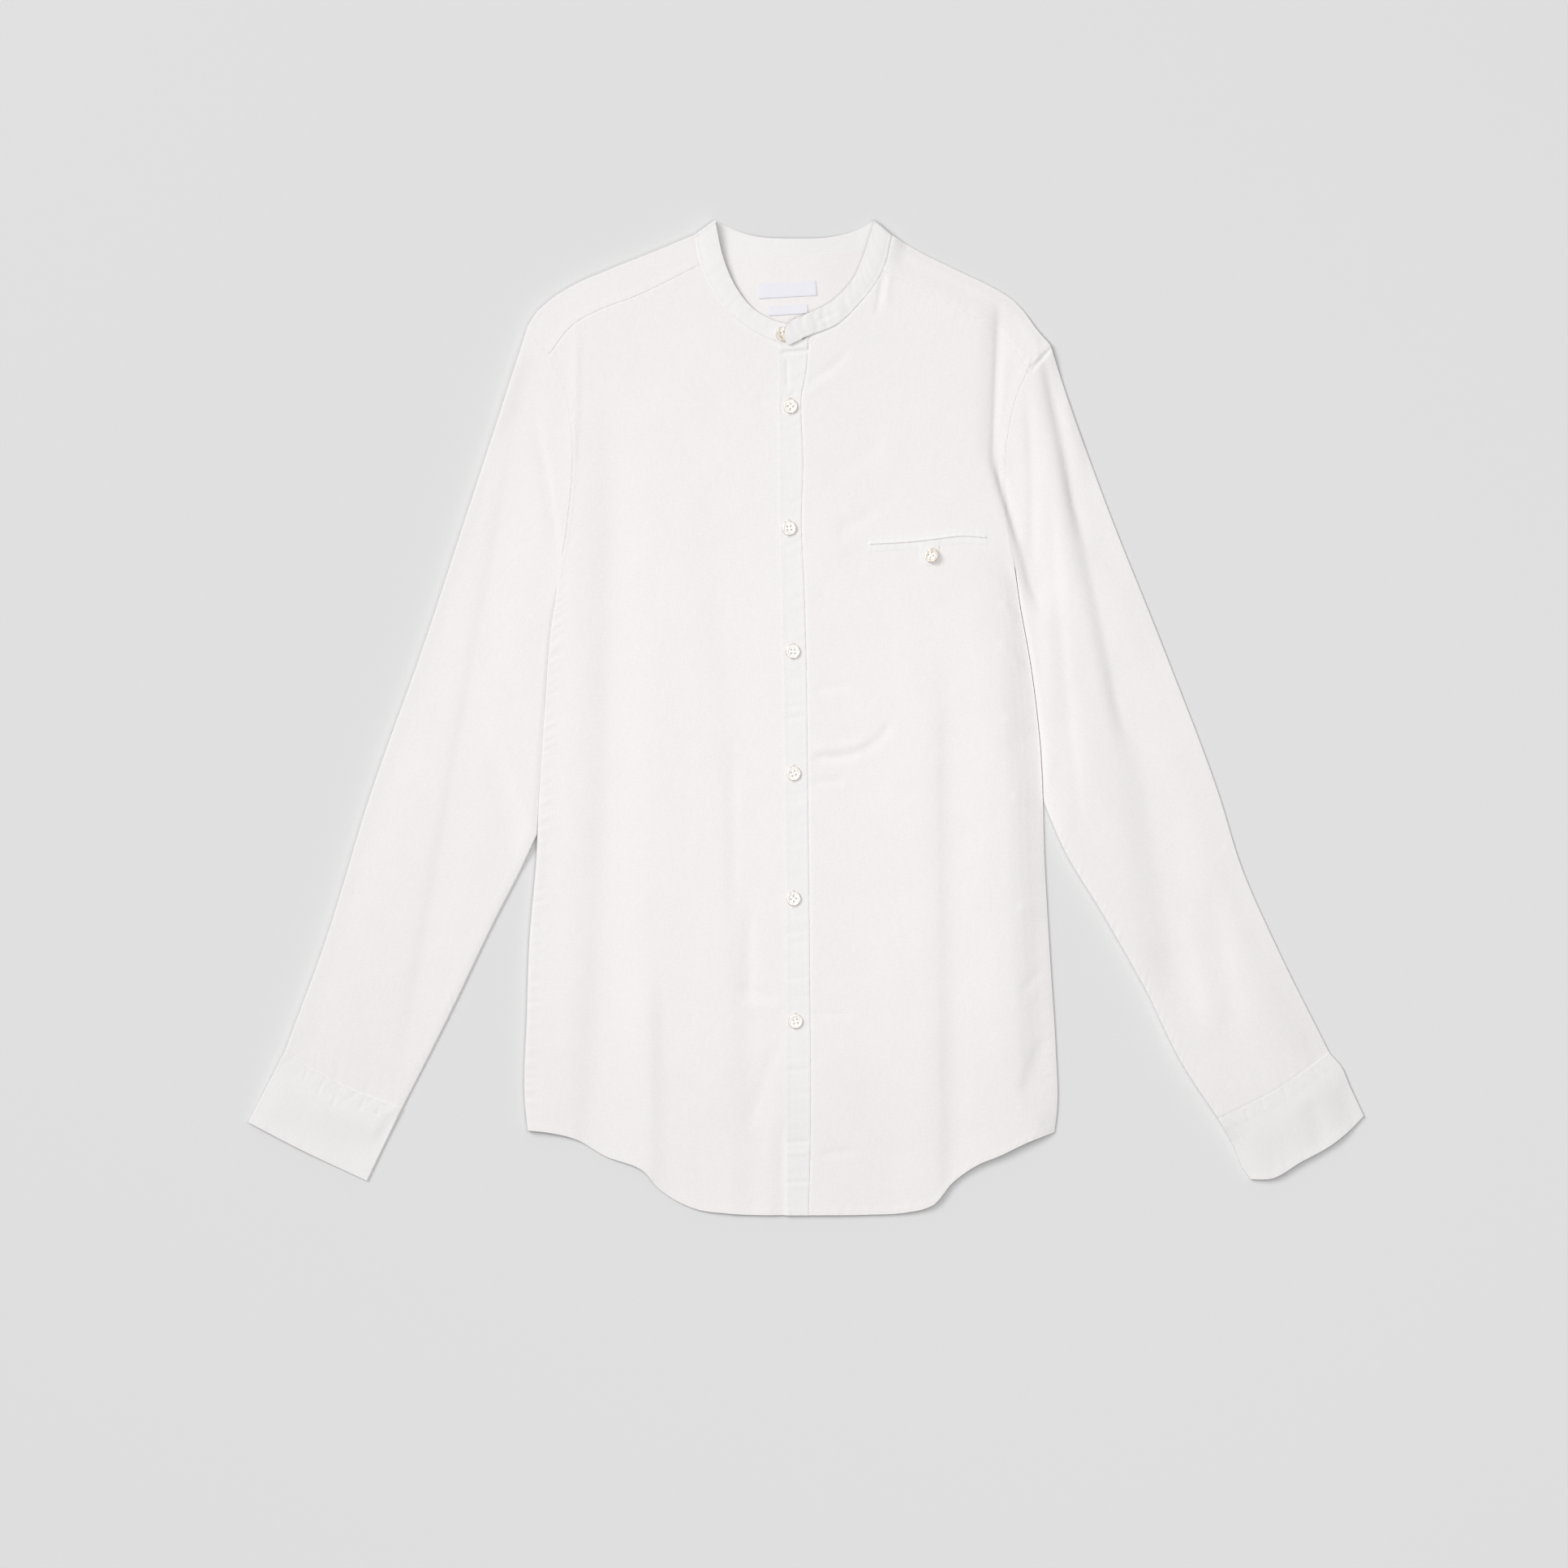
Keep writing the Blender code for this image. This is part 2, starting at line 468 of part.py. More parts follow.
def make_yoke():
    """One wall: flat under the back, over both shoulder folds, down to the fronts."""
    right_fold, left_fold = smooth_line(SHOULDER_RIGHT), smooth_line(SHOULDER_LEFT)
    right_seam, left_seam = smooth_line(YOKE_FRONT_RIGHT), smooth_line(YOKE_FRONT_LEFT)
    t = np.linspace(0.0, 1.0, SHOULDER_STEPS + 1)
    neck = along(smooth_line(BAND_BACK)[:, :2], np.linspace(0.0, 1.0, YOKE_NECK_STEPS + 1))[1:-1]
    fold = np.vstack([along(right_fold, t), neck, along(left_fold, t)[::-1]])
    seam = np.vstack([along(right_seam, t), neck, along(left_seam, t)[::-1]])
    columns = len(fold)
    on_neck = np.zeros(columns, bool)
    on_neck[SHOULDER_STEPS + 1:columns - SHOULDER_STEPS - 1] = True
    towards = fold - seam
    reach = np.linalg.norm(towards, axis=1)[:, None]
    towards = np.where(reach > 0.0, towards / np.where(reach > 0.0, reach, 1.0), 0.0)

    arm_right = armhole_line(ARMHOLE_RIGHT)
    arm_left = armhole_line(ARMHOLE_LEFT)
    roll_start = fold - ROLL * towards
    near = arm_right[(arm_right[:, 1] > YOKE_SEAM_Y) & (arm_right[:, 1] < roll_start[0, 1])]
    far = arm_left[(arm_left[:, 1] > YOKE_SEAM_Y) & (arm_left[:, 1] < roll_start[-1, 1])]
    first = np.vstack([roll_start[:1], near, [[x_at(arm_right, YOKE_SEAM_Y), YOKE_SEAM_Y]]])
    last = np.vstack([roll_start[-1:], far, [[x_at(arm_left, YOKE_SEAM_Y), YOKE_SEAM_Y]]])
    u = np.concatenate([[0.0], np.cumsum(np.linalg.norm(np.diff(roll_start, axis=0), axis=1))])
    u /= u[-1]
    bottom = np.array([first[-1], last[-1]])
    v = np.linspace(1.0, 0.0, YOKE_BACK_ROWS + 1)
    back = patch(roll_start, bottom, first, last, np.broadcast_to(u, (len(v), columns)),
                 np.broadcast_to(v[:, None], (len(v), columns)))

    turn = np.linspace(0.0, math.pi, 2 * ROLL_STEPS + 1)[1:-1]
    steps = np.linspace(0.0, 1.0, YOKE_FRONT_ROWS + 1)[:, None, None]
    front = roll_start + (seam - roll_start) * steps
    sides = []
    for reach_in, low, high in ((ROLL, 0.0, LOFT), (ROLL - CLOTH, CLOTH, LOFT - CLOTH)):
        middle, half = (high + low) / 2.0, (high - low) / 2.0
        roll = roll_start + towards * (reach_in * np.sin(turn))[:, None, None]
        plan = np.concatenate([back, roll, front])
        height = np.concatenate([np.full(len(v), low), middle - half * np.cos(turn),
                                 np.full(len(front), high)])
        height = np.broadcast_to(height[:, None], plan.shape[:2])
        sides.append((plan, height))
    side_push = yoke_edge_moves(sides[0][0], len(v), on_neck)
    walls = []
    for plan, height in sides:
        plan = plan + side_push
        lift = relief(plan[..., 0], plan[..., 1]) * ease((height - CLOTH) / (LOFT - CLOTH))
        walls.append(with_height(plan, height + lift))

    def keep(row, column):
        return row < len(v) - 1 or not (on_neck[column] or on_neck[column + 1])

    return closed_wall("yoke", *walls, LINEN, keep=keep)


def yoke_edge_moves(plan, back_count, on_neck):
    """Moves that draw the yoke in from its seams: armholes, fronts, back and neck."""
    gap = SEAM_GAP / 2
    moves = np.zeros_like(plan)
    back = slice(0, back_count)
    front = slice(back_count + 2 * ROLL_STEPS - 1, len(plan))
    for column, neighbour in ((0, 1), (-1, -2)):
        for rows, width in ((back, 2.0 * gap), (front, gap)):
            moves[rows, column] += push(plan[rows, column], plan[rows, neighbour], width)
        moves[back_count:front.start, column] += moves[front.start, column]
    edges = np.flatnonzero(np.diff(on_neck.astype(int)))
    right_edge, left_edge = edges[0], edges[1] + 1
    for column, neighbour in ((right_edge, right_edge - 1), (left_edge, left_edge + 1)):
        moves[front, column] += push(plan[front, column], plan[front, neighbour], 3.5 * gap)
        moves[back_count:front.start, column] += moves[front.start, column]
    moves[0] += push(plan[0], plan[1], gap)
    moves[-1] += push(plan[-1], plan[-2], 1.5 * gap)
    neck = slice(right_edge, left_edge + 1)
    moves[back_count - 1, neck] += push(plan[back_count - 1, neck],
                                        plan[back_count - 2, neck], 1.5 * gap)
    return moves


def flat_ring(width, wall):
    """Across and up of a flattened tube: its outer face and, wall deep, its inner."""
    half = LOFT / 2.0
    under = np.linspace(ROLL, width - ROLL, TUBE_UNDER + 1)
    over = np.linspace(width - ROLL, ROLL, TUBE_TOP + 1)
    turn = np.linspace(0.0, math.pi, 2 * ROLL_STEPS - 1)[1:-1]
    faces = []
    for depth in (0.0, wall):
        reach, lift = ROLL - depth, half - depth
        across = np.concatenate([under, width - ROLL + reach * np.sin(turn), over,
                                 ROLL - reach * np.sin(turn)])
        up = np.concatenate([np.full(len(under), half - lift), half - lift * np.cos(turn),
                             np.full(len(over), half + lift), half + lift * np.cos(turn)])
        faces.append((across, up))
    return faces


def make_tube(name, outer_edge, inner_edge, stations, first_bow, last_bow, wall, first_gap, last_gap):
    """A flattened tube between two edge lines, open at both ends.

    first_bow and last_bow give the ends' moves away from their chords, as plan moves
    along the end, the share of the length over which they fade, and the share of the
    width, counted from the inner edge, where only the end itself has them.
    """
    t = np.linspace(0.0, 1.0, stations + 1)
    across = np.linspace(0.0, 1.0, TUBE_SAMPLES)
    start = along(outer_edge, t)[:, None]
    end = along(inner_edge, t)[:, None]
    plan = start + (end - start) * across[None, :, None]
    for moves, fade, held, order in ((*first_bow, t), (*last_bow, 1.0 - t)):
        kept = 1.0 - ease((across - 1.0 + 2.0 * held) / held) if held else np.ones_like(across)
        weight = (1.0 - ease(order / fade))[:, None] * np.where(order[:, None] > 0.0, kept, 1.0)
        plan += moves * weight[..., None]
    plan = inset(plan, first_row=first_gap, last_row=last_gap)
    sides = ([], [])
    for line in plan:
        width = length(line)
        outer_face, inner_face = flat_ring(width, wall)
        weight = outer_face[1] / LOFT
        for side, (distance, up) in zip(sides, (outer_face, inner_face)):
            point = along(line, distance / width)
            side.append(with_height(point, up + relief(point[:, 0], point[:, 1]) * weight))
    return closed_wall(name, np.array(sides[0]), np.array(sides[1]),
                       LINEN if wall == CLOTH else BAND_LINEN, ring=True)


def chord_moves(line):
    """How a line's points lie off its chord, at a tube's samples."""
    across = np.linspace(0.0, 1.0, TUBE_SAMPLES)
    return along(line, across) - (line[0] + (line[-1] - line[0]) * across[:, None])


def bow_moves(start, end, table, outward):
    """Moves square to a chord, by a table of shares of the chord and distances."""
    run = np.subtract(end, start)
    width = np.linalg.norm(run)
    square = np.array([-run[1], run[0]]) / width
    square *= np.sign(square @ outward)
    bow = smooth_line([(share * width, out) for share, out in table])
    distance = np.interp(np.linspace(0.0, width, TUBE_SAMPLES), bow[:, 0], bow[:, 1])
    return distance[:, None] * square


def make_sleeve_and_cuff(side, armhole, outer, body_side, inner_low, cuff_outer, cuff_inner,
                         cuff_end_bow):
    """One sleeve with its cuff. It lies beside the body, then leaves it."""
    away = np.array([-SIDE_CLEARANCE if side == "right" else SIDE_CLEARANCE, 0.0])
    down = np.array([0.0, -1.0])
    gap = SEAM_GAP / 2
    body = smooth_line(body_side)
    beside = body[body[:, 1] > inner_low[0][1]] + away
    beside[0] = armhole[-1]
    inner = np.vstack([beside, smooth_line(inner_low) + away])
    armhole_bow = chord_moves(armhole_line(armhole))
    cuff_seam = bow_moves(outer[-1], inner_low[-1] + away, CUFF_SEAM_BOW, down)
    cuff_end = bow_moves(cuff_outer[-1], cuff_inner[-1], cuff_end_bow, down)
    make_tube(f"sleeve_{side}", smooth_line(outer), inner, SLEEVE_STATIONS,
              (armhole_bow, ARMHOLE_FADE, ARMHOLE_HELD), (cuff_seam, CUFF_SEAM_FADE, 0.0),
              CLOTH, gap, gap)
    cuff_side = smooth_line(cuff_inner)
    cuff_side += away * np.linspace(1.0, 0.0, len(cuff_side))[:, None]
    make_tube(f"cuff_{side}", smooth_line(cuff_outer), cuff_side, CUFF_STATIONS,
              (cuff_seam, 1.0, 0.0), (cuff_end, 1.0, 0.0), FOLDED_CLOTH, gap, 0.0)


def make_placket(front_right):
    """The buttonhole strip on top of the right front, sewn to the left one."""
    left = smooth_line(PLACKET_LEFT_EDGE)
    bottom = np.array([left[-1], SEAM_LINE[-1]])
    size = (PLACKET_ROWS, PLACKET_COLUMNS)
    v = np.broadcast_to(np.linspace(0.0, 1.0, PLACKET_ROWS)[:, None], size)
    u = np.broadcast_to(np.linspace(0.0, 1.0, PLACKET_COLUMNS), size)
    plan = patch(smooth_line(PLACKET_TOP), bottom, left, SEAM_LINE, u, v)
    plan = inset(plan, first_row=SEAM_GAP, last_column=0.75 * SEAM_GAP)
    over_stand = np.minimum(plan[..., 0], plan[:, -1:, 0] - STAND_REACH)
    high = top_of(front_right, over_stand, plan[..., 1]) + LAP
    return closed_wall("placket", with_height(plan, high), with_height(plan, high - CLOTH), BAND_LINEN)


def band_wing(ribs, bow):
    """Outer face of one front half of the band, from its end to its crease roll."""
    line = smooth_line(ribs, steps=BAND_STEPS)
    across = np.linspace(0.0, 1.0, BAND_COLUMNS)[:, None]
    faces = []
    for rib in line:
        seam, edge = rib[0:2], rib[2:4]
        plan = seam + (edge - seam) * across
        high = rib[4] + (rib[5] - rib[4]) * across[:, 0] + BAND_CROWN * np.sin(math.pi * across[:, 0])
        faces.append(with_height(plan, high))
    faces = np.array(faces)
    travel = np.linalg.norm(line[:, 0:2] - line[0, 0:2], axis=1)
    pull = bow * (1.0 - ease(travel / BAND_END_REACH))
    faces[..., 0] -= pull[:, None] * np.sin(math.pi * across[:, 0])
    return faces


def make_band():
    """The collar band: front half, crease, back, crease, other front half."""
    right = band_wing(BAND_RIGHT, 0.0)
    left = band_wing(BAND_LEFT, BAND_END_BOW)
    back = band_wing(BAND_BACK, 0.0)
    lower = np.array([0.0, 0.0, FOLDED_CLOTH])
    turn = np.linspace(0.0, math.pi, 2 * ROLL_STEPS + 1)[1:-1]

    def crease(wing, back_rib, facing):
        """Stations that roll the band over, from the wing's last rib down to the back's."""
        ways = np.linspace(*facing, len(wing[-1]))
        ways /= np.linalg.norm(ways, axis=1)[:, None]
        top, low = wing[-1].copy(), back_rib.copy()
        reach = np.linspace(ROLL, ROLL + 0.5, len(top))[:, None]
        top[:, :2] -= ways * reach
        middle = (top[:, 2] + low[:, 2]) / 2.0
        half = (top[:, 2] - low[:, 2]) / 2.0
        faces = ([], [])
        for angle in turn:
            for face, depth in zip(faces, (0.0, FOLDED_CLOTH)):
                plan = top[:, :2] + ways * (reach - depth) * math.sin(angle)
                face.append(with_height(plan, middle + (half - depth) * math.cos(angle)))
        return top, faces

    right_top, right_roll = crease(right, back[0], BAND_CREASE_RIGHT)
    left_top, left_roll = crease(left, back[-1], BAND_CREASE_LEFT)
    right[-1], left[-1] = right_top, left_top
    back[0, :, :2] = right_top[:, :2]
    back[-1, :, :2] = left_top[:, :2]
    outer = np.concatenate([right, right_roll[0], back, left_roll[0][::-1], left[::-1]])
    inner = np.concatenate([right - lower, right_roll[1], back + lower, left_roll[1][::-1],
                            left[::-1] - lower])
    step = outer[:, 1, :2] - outer[:, 0, :2]
    step *= SEAM_GAP / 2 / np.linalg.norm(step, axis=1)[:, None]
    outer[:, 0, :2] += step
    inner[:, 0, :2] += step
    return closed_wall("collar_band", outer, inner, BAND_LINEN)


def make_welt(name, front_left, slit, low, high):
    """A welt that lies on the left front, between two distances above the slit."""
    base = along(slit, np.linspace(0.0, 1.0, WELT_COLUMNS))
    plan = base + np.stack([np.zeros(3), np.linspace(high, low, 3)], -1)[:, None]
    height = top_of(front_left, plan[..., 0], plan[..., 1]) + REST_GAP
    return closed_wall(name, with_height(plan, height + WELT_CLOTH), with_height(plan, height),
                       BAND_LINEN)


def make_pocket(front_left):
    """Two welts along the chest slit, and the button tab that comes out of it."""
    slit = smooth_line(POCKET_SLIT)
    make_welt("pocket_welt_upper", front_left, slit, SLIT / 2, WELT)
    make_welt("pocket_welt_lower", front_left, slit, -WELT, -SLIT / 2)
    middle = BUTTONS[-1][1] - TAB_OFFSET
    top_y = np.interp(middle, slit[:, 0], slit[:, 1]) - SLIT
    half = TAB_WIDTH / 2.0
    across, down = np.meshgrid(np.linspace(-half, half, 5), np.linspace(0.0, TAB_LENGTH, TAB_ROWS))
    into_end = np.clip((down - TAB_LENGTH + half) / half, 0.0, 0.98)
    plan = np.stack([middle + across * np.sqrt(1.0 - into_end**2), top_y - down], -1)
    height = top_of(front_left, plan[..., 0], plan[..., 1]) + 2 * REST_GAP + WELT_CLOTH
    return closed_wall("pocket_tab", with_height(plan, height + WELT_CLOTH),
                       with_height(plan, height), BAND_LINEN)


def make_labels():
    """Blank woven labels, flat on the inside of the yoke."""
    for name, x, y, width, height in LABELS:
        across = np.array([-0.5, 0.5]) * width
        up = np.array([0.5, -0.5]) * height
        grid = np.stack(np.meshgrid(across, up), -1)
        turn = np.array([[math.cos(LABEL_TILT), math.sin(LABEL_TILT)],
                         [-math.sin(LABEL_TILT), math.cos(LABEL_TILT)]])
        plan = grid @ turn + (x, y)
        low = CLOTH + REST_GAP
        closed_wall(name, with_height(plan, low + 1.0), with_height(plan, low), WOVEN_LABEL)


def button_mesh():
    """A turned button with a rim, a dished middle and four holes."""
    profile = ((0.0, 0.0), (4.9, 0.0), (BUTTON_RADIUS, 1.1), (5.5, 2.1),
               (4.8, BUTTON_THICK), (3.5, 1.5), (0.0, 1.4))
    edit = bmesh.new()
    chain = [edit.verts.new((radius * MM, 0.0, height * MM)) for radius, height in profile]
    edges = [edit.edges.new(pair) for pair in zip(chain, chain[1:])]
    bmesh.ops.spin(edit, geom=chain + edges, cent=(0, 0, 0), axis=(0, 0, 1),
                   angle=2.0 * math.pi, steps=BUTTON_SEGMENTS, use_merge=True)
    bmesh.ops.remove_doubles(edit, verts=edit.verts, dist=0.00001)
    bmesh.ops.recalc_face_normals(edit, faces=edit.faces)
    mesh = bpy.data.meshes.new("button")
    edit.to_mesh(mesh)
    edit.free()
    return mesh


def hole_cutters():
    edit = bmesh.new()
    for quarter in range(4):
        angle = math.pi / 4.0 + quarter * math.pi / 2.0
        made = bmesh.ops.create_cone(edit, segments=HOLE_SEGMENTS, cap_ends=True,
                                     radius1=HOLE_RADIUS * MM, radius2=HOLE_RADIUS * MM,
                                     depth=4.0 * BUTTON_THICK * MM)
        centre = Vector((math.cos(angle), math.sin(angle), 0.0)) * HOLE_CIRCLE * MM
        bmesh.ops.translate(edit, verts=made["verts"], vec=centre)
    mesh = bpy.data.meshes.new("hole_cutters")
    edit.to_mesh(mesh)
    edit.free()
    cutter = bpy.data.objects.new("hole_cutters", mesh)
    bpy.context.scene.collection.objects.link(cutter)
    return cutter


def make_buttons(placket, band, tab):
    """Eight buttons, each just clear of the cloth under it."""
    cutter = hole_cutters()
    blank = bpy.data.objects.new("button_blank", button_mesh())
    bpy.context.scene.collection.objects.link(blank)
    cut = blank.modifiers.new("holes", "BOOLEAN")
    cut.object = cutter
    cut.operation = "DIFFERENCE"
    cut.solver = "EXACT"
    graph = bpy.context.evaluated_depsgraph_get()
    drilled = bpy.data.meshes.new_from_object(blank.evaluated_get(graph))
    bpy.data.objects.remove(blank)
    bpy.data.objects.remove(cutter)
    for name, x, y, turn in BUTTONS:
        piece = add_object(name, drilled.copy(), PEARL)
        under = {"button_collar": band, "button_pocket": tab}.get(name, placket)
        reach = np.linspace(-BUTTON_SEAT, BUTTON_SEAT, 5) * BUTTON_RADIUS
        around_x, around_y = np.meshgrid(x + reach, y + reach)
        if under is band:
            around_x = np.minimum(around_x, BAND_LEFT[0][0] - BAND_END_BOW)
        seat = top_of(under, around_x, around_y).max() + REST_GAP
        piece.location = (x * MM, y * MM, seat * MM)
        piece.rotation_euler.z = math.radians(turn)


def build_shirt():
    for old in list(bpy.data.objects):
        bpy.data.objects.remove(old)
    neck_right = neck_line(BAND_RIGHT)
    neck_left = neck_line(BAND_LEFT)
    right_corner = np.argmin(np.hypot(*(neck_right - YOKE_FRONT_RIGHT[-1]).T))
    left_corner = np.argmin(np.hypot(*(neck_left - YOKE_FRONT_LEFT[-1]).T))
    under_placket = SEAM_LINE - (STAND_REACH, 0.0)
    under_placket[0] = neck_right[-1]
    past_seam = np.argmin(np.abs(neck_left[:, 0] - PLACKET_SEAM[0][0]))
    make_back()
    make_yoke()
    front_right = make_front(
        "front_right", smooth_line(YOKE_FRONT_RIGHT), neck_right[right_corner:],
        smooth_line(HEM_RIGHT), smooth_line(ARMHOLE_RIGHT[1:]), smooth_line(SIDE_RIGHT),
        under_placket, front_height)
    front_left = make_front(
        "front_left", smooth_line(YOKE_FRONT_LEFT), neck_left[left_corner:past_seam + 1],
        smooth_line(HEM_LEFT), smooth_line(ARMHOLE_LEFT[1:]), smooth_line(SIDE_LEFT),
        SEAM_LINE, left_front_height)
    placket = make_placket(front_right)
    band = make_band()
    make_sleeve_and_cuff("right", ARMHOLE_RIGHT, SLEEVE_OUT_RIGHT, SIDE_RIGHT, SLEEVE_IN_RIGHT,
                         CUFF_OUT_RIGHT, CUFF_IN_RIGHT, CUFF_END_BOW_RIGHT)
    make_sleeve_and_cuff("left", ARMHOLE_LEFT, SLEEVE_OUT_LEFT, SIDE_LEFT, SLEEVE_IN_LEFT,
                         CUFF_OUT_LEFT, CUFF_IN_LEFT, CUFF_END_BOW_LEFT)
    tab = make_pocket(front_left)
    make_labels()
    make_buttons(placket, band, tab)


build_shirt()
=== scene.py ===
"""Mandarin collar shirt, laid flat: its cloth, seams, stitches, buttons and finishes.

Lengths are in millimetres until a mesh is written, which is in metres. Right and left
are the wearer's. +X is to the wearer's left, +Y to the collar, +Z up.
"""
import math

import bmesh
import bpy
import numpy as np
from mathutils import Matrix, Vector


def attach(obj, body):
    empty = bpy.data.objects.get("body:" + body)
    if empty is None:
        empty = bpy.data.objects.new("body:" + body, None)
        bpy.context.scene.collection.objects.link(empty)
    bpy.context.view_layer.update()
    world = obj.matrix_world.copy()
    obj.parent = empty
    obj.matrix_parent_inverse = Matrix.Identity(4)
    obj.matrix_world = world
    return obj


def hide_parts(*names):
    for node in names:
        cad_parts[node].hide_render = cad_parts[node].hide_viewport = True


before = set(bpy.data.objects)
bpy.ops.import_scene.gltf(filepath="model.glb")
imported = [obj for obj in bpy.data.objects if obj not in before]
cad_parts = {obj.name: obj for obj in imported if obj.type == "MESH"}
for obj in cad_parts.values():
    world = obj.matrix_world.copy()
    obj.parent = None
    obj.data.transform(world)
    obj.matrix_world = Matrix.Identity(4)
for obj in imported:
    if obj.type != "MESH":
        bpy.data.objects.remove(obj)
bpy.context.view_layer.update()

MM = 0.001

# ---------------------------------------------------------------- driving sizes, mm
SHELL = 0.3             # wall of one layer of cloth
LEAST = 1.2             # the upper layer's outer face comes no lower than this
DOUBLE = 0.6            # wall of the band and the cuffs, which hold their neighbours' edges
TRIM = 0.35             # wall of the placket
LOFT = 6                # height of the upper layer's outer face
HEM_FLAT = 8            # strip along the hem where the front lies at its lowest
HEM_RISE = 130          # distance over which it rises above that
ROLL = 0.9              # how far the round of a folded edge reaches in from the outline
CREASE_ROLL = 1.8       # the same where the band turns over
SIDE_REACH = 11         # strip along the body's sides with close rows of mesh
SIDE_FOOT = 1.3         # height of a front's side edge, where it sits on the back's
HELD_FOOT = 5.5         # the same where it laps over a sleeve
HELD_LAP = 0.8          # by this much
HELD_ABOVE, HELD_START = 6, 14      # from the underarm up to that, and where it has begun
UNDERARM_BLEND = 22     # length of side seam over which its round begins
LAP = 0.6               # the left front's step up over the right one
LAP_FADE = 70           # distance over which that goes
FOLD_END = 0.25         # share of a fold's length over which it rises at each end
FOLD_BLUNT = 0.15       # how much of it stands at its very ends
SIDE_CLEARANCE = 0.5    # from the body's side to the sleeve that lies along it
BACK_HEM_INSET = 3      # the back hem lies hidden inside the front one
BACK_HEM_SHARE = 0.1    # share of the back's length over which it comes in
BACK_CALM = 12          # strip along the back's sides that has fewer folds
YOKE_SEAM_Y = 246       # height of the yoke seam across the back
ARMHOLE_FADE = 0.35     # share of a sleeve's length over which its armhole's curve fades
ARMHOLE_HELD = 0.3      # share of its width, by the underarm, that has no such curve
HELD_FADE = 0.1         # share of its length over which it goes there
CUFF_SEAM_FADE = 0.25   # share of a sleeve's length over which the cuff seam's curve fades
BAND_CROWN = 0.4        # how far the band swells between its seam and its edge
BAND_END_BOW = 6.5      # round of the band's lapped end
BAND_END_REACH = 16     # distance from the end over which that round fades
BAND_PROUD = 0.3        # the band's outer face stands over its neighbours' by this much

FLANGE = 3              # how far an edge runs on under its neighbour's turned edge
DIP = 0.3               # how deep it lies there
HELD_DIP = 0.4          # how deep it lies where a double piece holds it
DIP_REACH = 2.6         # distance over which it goes down
ALLOWANCE = 5           # from a turned edge to its topstitching
HEM_TURN = 5.2          # the same at the hem
TURN_STEP = 1.8         # distance over which a turned edge's ridge goes down
STITCH_GROOVE = 1.2     # half width of the groove along its stitching
STITCH_SINK = 0.02      # how far stitches sink in
PLACKET_TUCK = 1.2      # how far the left front runs on under the placket
PLACKET_DIP = TRIM + 0.06           # how deep it lies there
CUFF_TUCK = 2           # how far a sleeve runs on into its cuff
CUFF_BLEND = 25         # length of cuff over which the sleeve's slump turns into its own
HELD_FROM = -120        # y above which the right front laps over its sleeve
HELD_BLEND = 60         # height over which that begins
BACK_INSET = 0.3        # the back's sides lie inside the front's
BACK_WIDTH = 390        # spans that the rows and columns of mesh are counted by:
YOKE_DEPTH = 110        # the yoke's hidden half, from its fold to its back seam
SHOULDER_SPAN = 138     # its fold along one shoulder
NECK_SPAN = 170         # its neck edge
PLACKET_WIDTH, PLACKET_LENGTH = 21, 692
NECK_LAP = 2            # how far the yoke's neck edge runs on inside the band

BUTTON_THICK = 1.7
BUTTON_PROFILE = (
    # radius, height
    (0, 0), (4.3, 0), (5.1, 0.15), (5.6, 0.5), (5.75, 0.9), (5.6, 1.3), (5.25, 1.55),
    (4.8, BUTTON_THICK), (4.3, 1.64), (3.95, 1.5), (3.65, 1.38), (3.2, 1.3), (2.4, 1.26), (0, 1.25),
)
RIM_RADIUS = 5.15       # past which the pearl is deeper in tone
BUTTON_LIFT = 0.15      # from the cloth to a button's underside
COLLAR_BUTTON_SEAT = (-0.3, 0, 0)   # height over the band, slopes to the left and up
POCKET_BUTTON_SEAT = (1, 0.34, -0.14)  # the same over the tab
THREAD_FOOT, THREAD_BOW = 0.6, 0.62  # height of the threads at the holes, and between
HOLE_FILL = (0.35, 0.75)            # heights of the thread ends in the holes
HOLE_RADIUS = 0.75      # a button's holes
HOLE_CIRCLE = 2.05      # from its middle to each hole's
BUTTONHOLE = 14         # length of a buttonhole
ZIGZAG_STEP = 0.3
ZIGZAG_REACH = (0.35, 1.25)         # inner and outer points, off the slit
WELT = 6                # from the slit's middle to a welt's seam
WELT_CLOTH = 0.18       # how far a welt stands over the front
WELT_LIP = 1            # how far the upper one stands up at the slit
SLIT = 1                # width of the pocket's slit
TAB_WIDTH = 15.4        # the pocket's tab
TAB_LENGTH = 19
TAB_OFFSET = 1.8        # from its middle to the button's, across
STAND_REACH = 1.5       # how far inside the placket's seam the right front ends
LABEL_TILT = math.radians(3.2)      # how far the labels lean

# ------------------------------------------------------------- lines of the pattern
ARMHOLE_RIGHT = (
    (-220.5, 308.5), (-203.5, 286.5), (-190.5, 257.5), (-186, 227.5), (-185, 197.5),
    (-187.5, 167.5), (-190.5, 143), (-196, 116),
)
ARMHOLE_LEFT = (
    (191.5, 294), (174, 275.5), (165.5, 257), (160, 237), (156.5, 215), (155, 194), (156, 169.5),
    (163, 118),
)
SIDE_RIGHT = (
    (-196, 116), (-197.5, 94), (-201.5, 67.5), (-206, 10), (-210.5, -59), (-214.5, -118.5),
    (-219.5, -176), (-221.5, -234), (-223, -305), (-221, -325),
)
SIDE_LEFT = (
    (163, 118), (168, 84), (174, 51.5), (183, -20), (187, -118.5), (191.5, -195.5), (195.5, -260),
    (196.5, -310), (194.5, -326.5),
)
SLEEVE_OUT_RIGHT = (
    (-220.5, 308.5), (-233.5, 268), (-265.5, 169.5), (-303.5, 54), (-344.5, -61), (-380, -176.5),
    (-412, -263.5),
)
